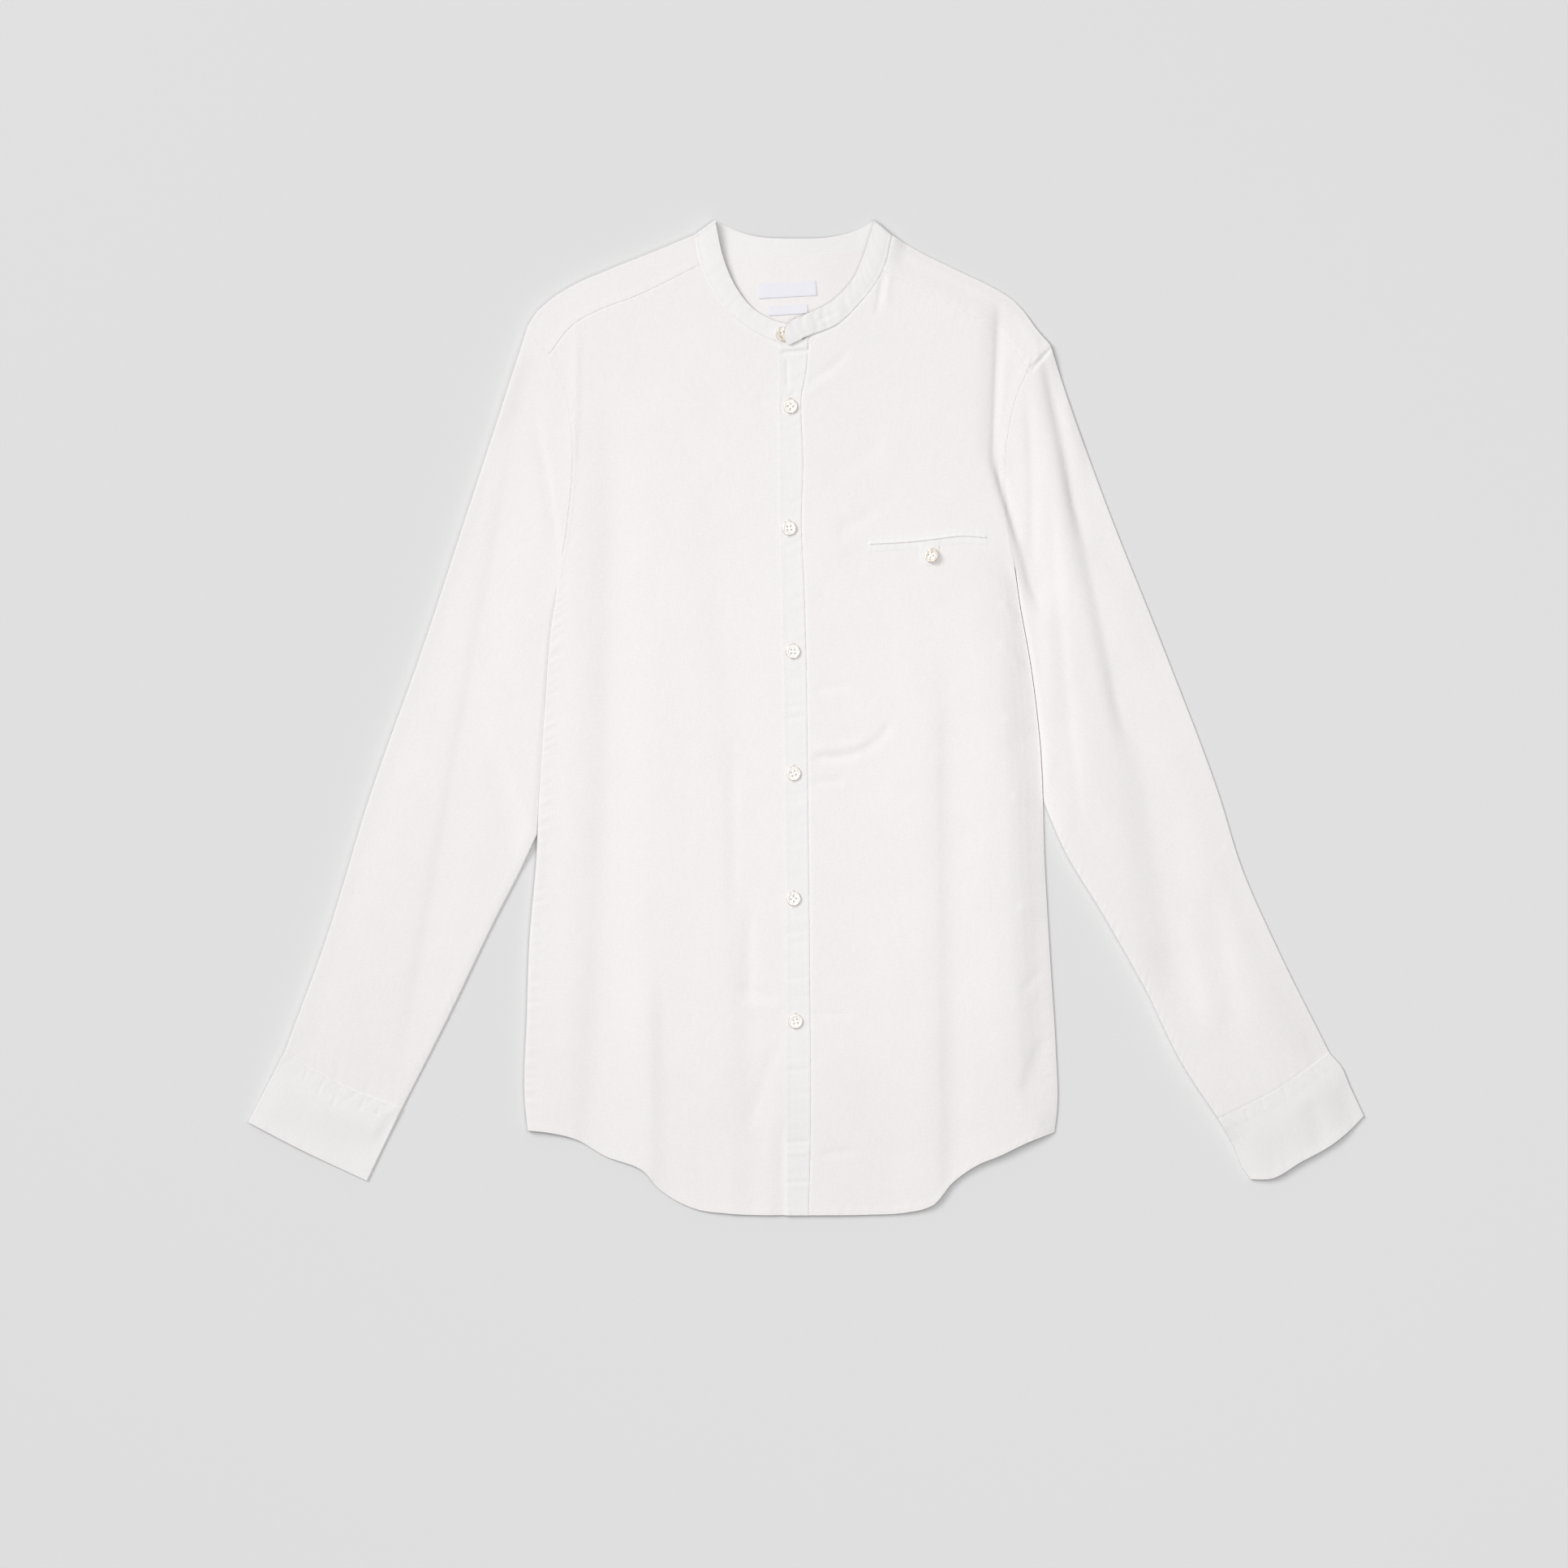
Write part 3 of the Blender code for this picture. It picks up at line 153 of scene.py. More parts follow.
SLEEVE_OUT_LEFT = (
    (191.5, 294), (200.5, 266), (235, 169.5), (281, 54), (324.5, -61), (342.5, -118.5),
    (368, -176.5), (411.5, -264),
)
SLEEVE_IN_RIGHT = ((-212.5, -92), (-226, -121), (-244.5, -157), (-281.5, -234), (-319, -308))
SLEEVE_IN_LEFT = ((186, -68), (199, -99.5), (233, -157), (265.5, -214.5), (294, -272.5), (323, -316.5))
CUFF_OUT_RIGHT = ((-412, -263.5), (-441, -318.5))
CUFF_OUT_LEFT = ((411.5, -264), (421, -275), (427.5, -290), (438.5, -313.5))
CUFF_IN_RIGHT = ((-319, -308), (-330, -330), (-347, -365))
CUFF_IN_LEFT = ((323, -316.5), (335.5, -338.5), (343, -355.5), (348.5, -363.5))
SHOULDER_RIGHT = (
    (-220.5, 308.5), (-214.5, 318), (-203, 329), (-186, 340), (-158, 352.5), (-120.5, 367.5),
    (-89, 380.5),
)
SHOULDER_LEFT = (
    (191.5, 294), (181, 306), (171, 320), (162, 329.5), (150.5, 337), (119, 352.5), (88.5, 367.5),
    (66.5, 380.5),
)
YOKE_FRONT_RIGHT = ((-203.5, 286.5), (-185, 309.5), (-164, 321.5), (-139.5, 330.5), (-84.5, 357))
YOKE_FRONT_LEFT = ((174, 275.5), (166, 288.5), (150, 305.5), (123, 319.5), (59, 352))
HEM_RIGHT = (
    (-221, -325), (-203, -327), (-183, -332), (-160.5, -345), (-128, -358.5), (-118.5, -370),
    (-104.5, -380), (-87, -387.5), (-64.5, -390.5), (-1.5, -392),
)
HEM_LEFT = (
    (194.5, -326.5), (174.5, -334), (152.5, -344.5), (132.5, -353), (114.5, -366), (98.5, -384),
    (76, -390), (48, -391.5), (0.5, -392),
)
PLACKET_LEFT_EDGE = (
    (-23.5, 294.5), (-23.5, 227), (-22.5, 130), (-20.5, 54), (-19, -42), (-18, -138), (-18, -392),
)
PLACKET_TOP = ((-23.5, 294.5), (-16.5, 292.5), (0.5, 300))
PLACKET_SEAM = (
    (0.5, 300), (-2, 269), (-5, 254), (-5, 230), (-3.8, 207), (-5.1, 153), (-3, 105), (-1.5, 54),
    (0, -60), (1.5, -202), (2, -330), (0.5, -392),
)
POCKET_SLIT = ((47.5, 136), (87, 138.5), (103, 140.5), (122, 142.5), (141.5, 141))

# Bow of a cuff's ends away from their chords: share of the chord, mm outward
CUFF_SEAM_BOW = ((0, 0), (0.5, 3.6), (1, 0))
CUFF_END_BOW_RIGHT = ((0, 0), (0.5, 1), (1, 0))
CUFF_END_BOW_LEFT = ((0, 0), (0.13, 4), (0.33, 7.5), (0.6, 7.5), (0.86, 7.5), (1, 0))

# Ribs of the collar band: seam x, y; free edge x, y; height of the outer face at each
BAND_RIGHT = (
    (-5, 293, -3, 311, 6, 6.1),
    (-17, 293.5, -16, 310, 6, 6.2),
    (-30.5, 298, -26, 312.5, 6, 6.3),
    (-54, 311.5, -43, 322, 6, 6.6),
    (-71.5, 331, -56, 338, 6, 7),
    (-84.5, 357, -66.5, 362, 6, 7.3),
    (-89, 380.5, -73, 392, 6, 7.3),
)
BAND_LEFT = (
    (-14, 293.6, -9.2, 313.9, 9.2, 9.3),
    (0.5, 300.5, 0, 318, 8.1, 8.5),
    (22, 309, 14, 324.5, 7, 7.4),
    (42, 327.5, 29.5, 337.5, 6.3, 6.8),
    (53, 341, 37.5, 348.5, 6, 6.5),
    (59, 352, 42.5, 360, 6, 6.6),
    (66.5, 380.5, 53, 392, 6, 7),
)
BAND_BACK = (
    (-89, 380.5, -73, 392, 0.3, 0.3),
    (-73.5, 370, -60, 385.5, 0.4, 0.3),
    (-48, 364.5, -42, 379.5, 2.5, 1.7),
    (-9.5, 362.5, -10, 377.5, 3.7, 2.9),
    (29, 365, 22, 379.5, 2.1, 1.4),
    (51, 370, 40, 385, 0.4, 0.3),
    (66.5, 380.5, 53, 392, 0.3, 0.3),
)
BAND_CREASE_RIGHT = ((-0.188, 0.982), (-0.5, 0.866))
BAND_CREASE_LEFT = ((0.25, 0.968), (0.5, 0.866))

# Folds of the upper layer: both ends of the crest, its sideways bow, its half width on
# the left hand of one who walks along it, then on the right, and its height, which is
# negative in a trough
FOLDS = (
    # right front
    (-182, 312, -184, 195, 1, 3, 5, 0.55),
    (-178, 240, -186, -330, -3, 14, 12, 0.5),
    (-154, 275, -177, -430, 8, 20, 13, -1.7),
    (-127, 120, -132, -380, 4, 22, 16, 0.6),
    (-126, -185, -123, -470, 0, 6, 15, 0.9),
    (-113, -200, -108, -420, 0, 14, 6, -0.5),
    (-100, 200, -62, -330, 8, 18, 26, 0.5),
    (-84, 230, -36, -360, 8, 30, 16, -0.5),
    (-50, -130, -42, -450, 0, 10, 10, -0.6),
    (-59, -20, -58, -160, 0, 5, 6, -0.5),
    (-45, -150, -46, -230, 0, 4, 5, -0.45),
    (-22, -252, -50, -330, 0, 5, 7, -0.5),
    (-33, -285, -36, -345, 0, 7, 9, -0.5),
    (-20, -315, -20, -425, 0, 3, 6, -0.8),
    (-58, -212, -22, -222, 0, 5, 5, -0.4),
    (-56, -226, -20, -228, 0, 4, 4, 0.3),
    (-42, 249, -26, 252, 0, 1.6, 1.6, -0.3),
    # left front
    (99, 60, 103, -430, 0, 9, 46, 1.5),
    (108, 80, 114, -440, -3, 28, 10, -0.9),
    (150, 110, 166, -340, 0, 15, 46, 2.1),
    (152, 335, 147.5, 190, 0, 20, 9, -2),
    (150.5, 330, 145.6, 190, 0, 6, 2.4, -1.1),
    (146, 215, 186, 78, 0, 20, 5.5, -3.6),
    (146, 204, 167, 134, 0, 5, 2.4, -1.4),
    (156, 292, 150, 215, 0, 4, 4, 0.4),
    (193.5, 293, 175, 272, 0, 1.3, 1.3, -1.2),
    (160, 150, 180, -45, -2, 40, 17, -1.6),
    (172, 20, 188, -200, 0, 10, 14, -0.6),
    (152, 92, 166, 76, 0, 3.5, 3.5, 0.6),
    (150, 60, 170, 38, 2, 4, 5, 0.6),
    (152, 0, 178, -12, 2, 4, 5, 0.5),
    (160, -60, 182, -64, -2, 4, 5, 0.5),
    (164, -150, 190, -156, 2, 5, 5, 0.6),
    (168, -218, 192, -196, 2, 5, 4, -0.6),
    (170, -300, 190, -250, 3, 5, 8, -0.8),
    (2, -31, 44, -27, -2, 3, 3.5, -0.9),
    (40, -27, 66, -4, -3, 4, 5, -0.7),
    (4, -24, 50, -18, -2, 4, 3, 0.5),
    (2, -52, 30, -50, 1, 3, 3, -0.5),
    (4, 20, 34, 24, 2, 4, 4, -0.4),
    (2, -234, 36, -235, 1, 3, 3, -0.4),
    (-2, 262, 34, 290, -2, 4, 4, -0.45),
    (-2, 252, 26, 270, 2, 4, 4, 0.3),
    (22, 142, 54, 160, 3, 5, 6, -0.5),
    (26, 128, 46, 118, 2, 5, 5, -0.3),
    (16, 190, 60, 222, -4, 8, 8, -0.35),
    (8, -345, 40, -341, 1, 3, 4, -0.4),
    (60, 350, 54, 316, 0, 2.4, 2.4, -0.6),
    (66, 356, 61, 322, 0, 3, 3, 0.4),
    # right sleeve
    (-222, 262, -323, -300, 0, 20, 7, -1),
    (-215, 240, -196, 118, 2, 3, 6, -0.6),
    (-224, 292, -246, 225, 0, 9, 6, 0.9),
    (-306, -20, -352, -190, 0, 16, 18, 0.3),
    (-381, -226, -392, -268, 0, 8, 8, -0.3),
    # left sleeve
    (183, 300, 217, 138, 0, 6, 4.2, -2),
    (204, 215, 256, -30, -1, 34, 8, -3.3),
    (252, 60, 300, -245, 0, 55, 20, -4.2),
    (180, 268, 206, 90, 2, 9, 9, 0.8),
    (196, 110, 232, -90, -2, 12, 14, 0.5),
    (190, 190, 216, -90, -2, 5, 5, -0.5),
    (172, 262, 174, 85, 4, 5, 4, -0.8),
    (193, 286, 202, 244, 0, 3, 3, -0.5),
    (300, -150, 322, -262, 0, 9, 9, 0.6),
    (318, -130, 338, -250, 0, 9, 8, -0.6),
    (344, -105, 426, -290, 0, 14, 30, -1.4),
    (182, -150, 186, -320, 0, 14, 12, -1.3),
    (186, 100, 192, -60, 2, 7, 7, 0.5),
)

# How a front rises from its side edge: distance in, share of the rise
SIDE_RISE = {
    "right": ((0, 0), (0.25, 0.55), (0.85, 1), (2, 1.05), (4, 1.05), (9, 1)),
    "left": ((0, 0), (3, 0.22), (8, 0.5), (14, 0.76), (20, 0.88), (30, 0.95), (45, 1)),
}

# How far the front falls to its hem, by x
HEM_FALL = (
    (-227, 1.5), (-209, 1.5), (-185, 2.5), (-160, 3.7), (-86, 3.8), (-60, 3), (-22, 3), (5, 3.8),
    (67, 3.8), (99, 2.6), (131, 1.2), (202, 0.8),
)

# How far the upper layer sinks towards an edge: depth and reach of each dip
SLEEVE_SLUMP = {
    "right": {"outer": ((-0.7, 9),), "held": ((1, 4.5),), "free": ((3.6, 55), (0.8, 3))},
    "left": {"outer": ((3.2, 22), (1, 4)), "held": ((0.9, 5),), "free": ((-1.5, 22),)},
}
CUFF_SLUMP = {
    "right": {"outer": ((0.8, 8),), "inner": ((2.6, 40), (1.2, 5))},
    "left": {"outer": ((3.2, 20), (0.8, 4)), "inner": ((1, 8),)},
}
CUFF_FALL = {"right": (3.2, 45), "left": (2.2, 40)}  # towards the hand, and over what
SHOULDER_SLUMP = ((2.4, 45), (1.4, 4.5))
SLUMP_FADE = 40         # distance from the armhole over which the first of each begins

# Fine creases of the trim, in the same columns
PLACKET_CREASES = (
    (-24, 290, 2, 292, 0, 2, 1.3, 0.7),
    (-24, 287, 2, 289, 0, 1.2, 2, -0.7),
    (-16.4, 284, -16.4, 258, 0, 1.6, 1, -0.55),
    (-17.5, 250, -9, 257, 0, 1.3, 1.3, -0.5),
    (-3, 259, 4, 264, 0, 1.3, 1.3, -0.5),
    (-20, 240, -18.5, 252, 1, 1.3, 1.3, -0.4),
    (-20, 8, 1, 10, 0, 2.4, 2.4, -0.35),
    (-20, -2, 1, 2, 0, 2, 2, -0.3),
    (-19, -278, 3, -277, 0, 1.6, 1.6, -0.35),
    (-19, -335, 3, -334, 0.5, 1.6, 1.6, -0.5),
    (-19, -343.5, 3, -342, 0, 1.8, 1.8, 0.4),
    (-19, -366, 3, -365, 0, 1.5, 1.5, -0.4),
    (-19, -170, 2, -169, 0, 1.6, 1.6, -0.25),
    (-19, -206, 2, -204, 0, 1.6, 1.6, -0.25),
)
CUFF_CREASES = (
    (-326, -312, -352, -362, 2, 3, 6, -1.6),
    (-318, -320, -342, -360, 0, 3, 3, 0.7),
    (-393, -277, -397, -285, 0, 1.1, 1.1, -0.4),
    (-381, -286, -386, -297, 0, 1.1, 1.1, -0.45),
    (-370, -295, -375, -307, 0, 1.2, 1.2, -0.4),
    (-349, -299, -353, -309, 0, 1.1, 1.1, -0.4),
    (-336, -303, -340, -314, 0, 1.1, 1.1, -0.4),
    (394, -272, 405, -284, 0, 1.2, 1.2, -0.4),
    (374, -289, 377, -299, 0, 1.1, 1.1, -0.35),
    (356, -298, 360, -308, 0, 1.1, 1.1, -0.35),
    (344, -308, 348, -319, 0, 1.1, 1.1, -0.4),
    (395, -300, 405, -345, 2, 8, 8, -0.7),
)
BAND_CREASES = (
    (4, 318, 8, 302, 1, 1.6, 1.6, -0.5),
    (12, 322, 17, 306, -1, 2, 2, -0.6),
    (20, 326, 26, 312, 1, 1.8, 1.8, 0.5),
    (27, 331, 34, 318, 0, 1.8, 1.8, -0.55),
    (6, 310, 24, 318, 1.5, 1.8, 1.8, -0.45),
    (32, 340, 45, 330, 1, 2, 2, -0.4),
    (-40, 318, -46, 308, 0, 2, 2, -0.3),
)

BUTTONS = (
    # name, x, y, turn in degrees
    ("button_collar", -19.5, 301.8, 25),
    ("button_1", -13.5, 245, 40),
    ("button_2", -14.5, 149, 5),
    ("button_3", -11.5, 52, 0),
    ("button_4", -11, -44, 20),
    ("button_5", -11, -142.5, 50),
    ("button_6", -9.5, -239, 10),
    ("button_pocket", 97.5, 127.5, 30),
)
LABELS = (
    # name, centre x, centre y, width, height
    ("label_main", -16, 337, 46, 11.6),
    ("label_small", -15.5, 321, 31.4, 7.2),
)

# The hidden side's folds are the upper layer's, moved across and up, and softened
UNDER_SHIFT, UNDER_SHARE, UNDER_MOST = (24, 18), 0.7, 1.6

# How the yoke billows up inside the neck: height, middle x and y, half width and height
NECK_BILLOW = (4, -12, 340, 66, 60)

# Slight unevenness of all cloth: height, size, how much narrower it is across, seed
UNEVEN = ((0.25, 52, 1, 2), (0.1, 17, 1, 3), (0.03, 6, 1.6, 4))

# Puckers beside seams: height, pitch along the seam, reach to either side
PUCKERED = {
    "yoke seam": (0.1, 8, 9), "side seam": (0.3, 8.5, 6), "placket": (0.08, 9, 7),
    "cuff seam": (0.12, 15, 22), "sleeve head": (0.12, 9, 12), "sleeve seam": (0.3, 7, 7),
    "back hem": (0.2, 7, 8),
}

# Waves of small pieces: height, pitch
WAVES = {"placket": (0.12, 13), "band": (0.22, 9), "band back": (0.12, 11),
         "welt": (0.08, 7.2), "label": (0.1, 17)}

# Ridges and grooves along an edge: height, distance off it, half width
BAND_EDGE = ((-0.18, 2, 1), (0.35, 0.9, 0.7))
TAB_EDGE = ((-0.05, 2.2, 0.8),)

# Turned edges: distance of the stitching from the edge, height of the ridge before it, and
# height, pitch and reach of the puckers along it
TURNED = {
    "armhole": (ALLOWANCE, 0.16, 0.11, 7.5, 9), "hem": (HEM_TURN, 0.18, 0.2, 6.5, 8),
    "yoke seam": (4.6, 0.16, 0.12, 8, 8), "cuff seam": (9, 0.15, 0.2, 12, 13),
    "cuff end": (5, 0.12, 0.12, 9, 9), "placket seam": (1.9, 0.15, 0.12, 9, 7),
    "placket edge": (3.2, 0.15, 0.1, 9, 6), "placket hem": (HEM_TURN, 0.15, 0.1, 7.5, 9),
}

# Distance of other topstitching from the edges of its piece
STITCHED_AT = {"yoke": 1.6, "band seam": 2, "band edge": 1.8, "welt": 1.2, "tab": 1.8, "label": 1.3}
CUFF_LINES = ((1.6, "top"), (10.5, "top"), (5, "bottom"))

# Sizes of stitches that the stitch group takes, and each kind's own, in metres
STITCH_SIZES = ("Pitch", "Stitch length", "Thread width", "Thread height", "Unevenness")
STITCHES = {
    "topstitching": (0.0028, 0.0021, 0.0003, 0.00012, 0.15),
    "button_threads": (0.0003, 0.0006, 0.0003, 0.0003, 0.05),
    "thread_ends": (0.0004, 0.0007, 0.0012, 0.0012, 0.05),
    "buttonhole_stitching": (0.0005, 0.0008, 0.00028, 0.0002, 0.1),
}

# Slubs of the weave: how many per metre across and along, and where each kind starts
SLUBS = (((170, 1500), 0), ((1500, 140), 7.3), ((620, 620), 3.1))
SLUB_RANGE = (1.15, 1.85)           # sums of the three that make no slub and a full one
WEAVE_SWING = 0.22      # how much the plain weave changes the shade
CLOUDS = (38, 26)       # broad pale and deep places, per metre

# Mesh steps, mm, and their numbers
FINE, COARSE = 0.95, 1.65           # close rows of mesh, and the others
UNDER_FINE, UNDER_STEP = 1.8, 4     # the same on hidden sides
ROLL_STEPS = 8          # steps of a quarter of a fold's round
SLEEVE_STEPS, CUFF_STEPS, BAND_STEPS = 76, 80, 16
TUBE_SAMPLES = 161      # points across a tube before it is laid out
HALF_TURN = np.linspace(0, math.pi, 2 * ROLL_STEPS)[1:-1]

# Floor, light and camera, in metres
FILL_LIGHT = 0.318      # shares of the floor's light: from all round,
OVERHEAD_LIGHT = 0.395  # from above
WINDOW_LIGHT = 0.354    # and from the window
OVERHEAD_SPOT = (0.06, -0.06)       # the place under the overhead light, m
OVERHEAD_HEIGHT = 1.4   # of that light
OVERHEAD_RADIUS = 0.6
OVERHEAD_FADE = 2.69    # the square of its distance, as its light fades
LIGHT_TURN = math.radians(-35)      # where the window light goes, in plan
LIGHT_LEAN = math.radians(48)       # its angle off the vertical
LIGHT_SPREAD = math.radians(28)     # how wide it looks from the floor
LIGHT_AWAY = 7          # from the shirt to it
FLOOR_TONE = 0.712      # the floor's grey
FLOOR_EVENING = (0.078, -0.054, 0)  # its change per metre across
FLOOR_RANGE = (0.85, 1.35)          # its least and most, as shares of that
FLOOR_REACH = 6         # from its middle to its edges
FLOOR_DROP = 0.0003     # how far it lies below the shirt
CAMERA_SPOT = (-0.0186, -0.0522, 3.434)
LENS, SENSOR, FARTHEST = 100, 36, 100


# ------------------------------------------------------------------- lines and grids
def ease(value):
    """Rises smoothly from 0 to 1."""
    t = np.clip(value, 0, 1)
    return t * t * (3 - 2 * t)


def smooth_line(points, steps=24):
    """Points of a smooth curve through the given rows, of any number of columns."""
    knots = np.array(points, float)
    spans = np.linalg.norm(np.diff(knots, axis=0), axis=1)[:, None]
    rates = np.diff(knots, axis=0) / spans
    inner = (rates[:-1] * spans[1:] + rates[1:] * spans[:-1]) / (spans[1:] + spans[:-1])
    slopes = np.vstack([rates[:1], inner, rates[-1:]]) if len(knots) > 2 else np.repeat(rates, 2, 0)
    t = (np.arange(steps) / steps)[:, None]
    runs = []
    for k, span in enumerate(spans):
        start = (2 * t**3 - 3 * t**2 + 1) * knots[k] + (t**3 - 2 * t**2 + t) * span * slopes[k]
        end = (3 * t**2 - 2 * t**3) * knots[k + 1] + (t**3 - t**2) * span * slopes[k + 1]
        runs.append(start + end)
    return np.vstack(runs + [knots[-1:]])


def armhole_line(points):
    """An armhole, straight at the end of the yoke and smooth below."""
    return np.vstack([points[:1], smooth_line(points[1:])])


def length(line):
    return float(np.linalg.norm(np.diff(line[:, :2], axis=0), axis=1).sum())


def along(line, fraction):
    """Points of a line at fractions of its length in plan."""
    steps = np.linalg.norm(np.diff(line[:, :2], axis=0), axis=1)
    run = np.concatenate([[0], np.cumsum(steps)])
    where = np.asarray(fraction) * run[-1]
    return np.stack([np.interp(where, run, line[:, c]) for c in range(line.shape[1])], -1)


def x_at(line, y):
    """x of a line that runs down, at height y."""
    return np.interp(y, line[::-1, 1], line[::-1, 0])


def join(*lines):
    """One line from several that meet end to end."""
    return np.vstack([line[:-1] for line in lines[:-1]] + [lines[-1]])


def patch(top, bottom, first, last, u, v):
    """Plan of a panel between four border lines: v runs down, u across, on all rows or each."""
    upper, lower = along(top, u), along(bottom, u)
    right, left = along(first, v)[:, None], along(last, v)[:, None]
    u, v = u[..., None], v[:, None, None]
    corners = (1 - v) * ((1 - u) * top[0] + u * top[-1]) + v * ((1 - u) * bottom[0] + u * bottom[-1])
    return (1 - v) * upper + v * lower + (1 - u) * right + u * left - corners


def push(border, neighbour, amount):
    """Moves that take a border line towards its neighbour, square to itself."""
    tangent = np.gradient(border, axis=0)
    square = np.stack([-tangent[:, 1], tangent[:, 0]], -1)
    square /= np.linalg.norm(square, axis=1)[:, None]
    facing = np.sign(((neighbour - border) * square).sum(1))[:, None]
    return square * facing * amount


def with_flange(plan, last=False, reach=FLANGE, rows=2):
    """A grid with rows added past its first or last row, to run under a neighbour."""
    if last:
        return with_flange(plan[::-1], False, reach, rows)[::-1]
    out = push(plan[0], plan[2], -reach)
    return np.concatenate([[plan[0] + out * k / rows for k in range(rows, 0, -1)], plan])


def swap(grid):
    """The same grid with its rows and columns exchanged."""
    return np.swapaxes(grid, 0, 1)


def spaced(span, coarse=COARSE, fine=FINE, first=True, last=True, reach=12):
    """Fractions of a span in an even number of steps, close together at the named ends."""
    place = np.linspace(0, span, 2000)
    off = np.minimum(place if first else np.inf, span - place if last else np.inf)
    step = fine + (coarse - fine) * ease(off / reach) + np.zeros_like(place)
    middle = (1 / step[1:] + 1 / step[:-1]) / 2
    count = np.concatenate([[0], np.cumsum(middle * np.diff(place))])
    cells = 2 * math.ceil(count[-1] / 2)
    return np.interp(np.linspace(0, count[-1], cells + 1), count, place) / span


def runs(plan):
    """Distances run across the rows and down the columns of a grid."""
    across = np.linalg.norm(np.diff(plan, axis=1), axis=-1)
    down = np.linalg.norm(np.diff(plan, axis=0), axis=-1)
    across = np.concatenate([np.zeros((len(plan), 1)), np.cumsum(across, 1)], 1)
    down = np.concatenate([np.zeros((1, plan.shape[1])), np.cumsum(down, 0)], 0)
    return across, down


def with_height(plan, height):
    return np.concatenate([plan, np.broadcast_to(height, plan.shape[:-1])[..., None]], -1)


# ------------------------------------------------------------ heights of the surface
HEM_LINE = np.vstack([smooth_line(HEM_RIGHT), smooth_line(HEM_LEFT)[::-1]])
SEAM_LINE = smooth_line(PLACKET_SEAM)


def spots(plan):
    """x and y of a grid's points."""
    return plan[..., 0], plan[..., 1]


def off_sides(across):
    """Distance from the nearer of a grid's first and last columns."""
    return np.minimum(across, across[:, -1:] - across)


def near(off, reach):
    """1 on a line, fading out over a reach to both sides."""
    return np.exp(-(off / reach) ** 2)


def creased(x, y, table):
    """Height that a table of folds or creases adds."""
    total = np.zeros(np.broadcast(x, y).shape)
    for x0, y0, x1, y1, bow, left, right, height in table:
        run = math.hypot(x1 - x0, y1 - y0)
        along_x, along_y = (x1 - x0) / run, (y1 - y0) / run
        t = ((x - x0) * along_x + (y - y0) * along_y) / run
        aside = (x - x0) * -along_y + (y - y0) * along_x - bow * 4 * t * (1 - t)
        fade = ease(np.minimum(t, 1 - t) / FOLD_END + FOLD_BLUNT)
        total += height * near(aside, np.where(aside > 0, left, right)) * fade
    return total


def mottle(x, y, size, seed):
    """Smooth uneven heights between -1 and 1, with bumps of about one size."""
    grid = np.random.default_rng(seed).uniform(-1, 1, (256, 256))
    across, up = (x + 600) / size, (y + 600) / size
    column, row = np.floor(across).astype(int), np.floor(up).astype(int)
    u, v = ease(across - column), ease(up - row)

    def corner(i, j):
        return grid[(row + i) % 256, (column + j) % 256]

    return ((1 - v) * ((1 - u) * corner(0, 0) + u * corner(0, 1))
            + v * ((1 - u) * corner(1, 0) + u * corner(1, 1)))


def relief(x, y):
    """Folds, creases and slight unevenness of the upper layer."""
    uneven = sum(height * mottle(x * narrow, y, size, seed) for height, size, narrow, seed in UNEVEN)
    return creased(x, y, FOLDS) + uneven


def no_lower(value, least, soft=0.8):
    """The value where it is well above the least, and bending to stay above it."""
    return least + (value - least + np.hypot(value - least, soft)) / 2


def raised(up, lift, least):
    """A tube's point moved up or down: its top stays over the least, its underside over 0."""
    share = up / LOFT
    return up + no_lower(lift, (least - LOFT) * share, 0.8 * share)


def under_relief(x, y, above):
    """Folds on the hidden side, which only lift the cloth, within the room above it."""
    across, up = UNDER_SHIFT
    lifted = creased(across - x, y + up, FOLDS) * -UNDER_SHARE + 0.08 * mottle(x, y, 15, 8)
    return np.clip(lifted, 0, np.clip(0.5 * (above - 4), 0, UNDER_MOST))


def inside_lift(x, y):
    """How the yoke billows up inside the neck."""
    height, middle_x, middle_y, wide, high = NECK_BILLOW
    return height * ease(1.3 - np.hypot((x - middle_x) / wide, (y - middle_y) / high))


def front_height(x, y):
    """Outer face of the right front, and of the left one away from its lap."""
    above_hem = y - np.interp(x, HEM_LINE[:, 0], HEM_LINE[:, 1])
    fall = np.interp(x, *zip(*HEM_FALL)) * (1 - ease((above_hem - HEM_FLAT) / HEM_RISE))
    return no_lower(LOFT - fall + relief(x, y), LEAST)


def left_front_height(x, y):
    """The left front steps up beside the placket, over the right front's edge."""
    return front_height(x, y) + LAP * (1 - ease((x - x_at(SEAM_LINE, y)) / LAP_FADE))


def puckers(run, pitch, seed):
    """Irregular waves along a seam, from about -1 to 1, of about one pitch."""
    turn = np.random.default_rng(seed).uniform(0, 2 * math.pi, 6)
    wave = 2 * math.pi * np.asarray(run) / pitch
    drift = 1.6 * np.sin(wave / 6.1 + turn[0]) + 0.7 * np.sin(wave / 2.7 + turn[1])
    total = 0.6 * np.sin(wave + drift + turn[2]) + 0.3 * np.sin(1.71 * wave - drift + turn[3])
    total += 0.25 * np.sin(0.57 * wave + turn[4])
    return total * (0.7 + 0.3 * np.sin(wave / 8.3 + turn[5]))


def ridges(off, table):
    """Rounded ridges and grooves along an edge."""
    return sum(height * near(off - place, half) for height, place, half in table)


def wavy(run, seed, piece):
    """A piece's own slow waves."""
    height, pitch = WAVES[piece]
    return height * puckers(run, pitch, seed)


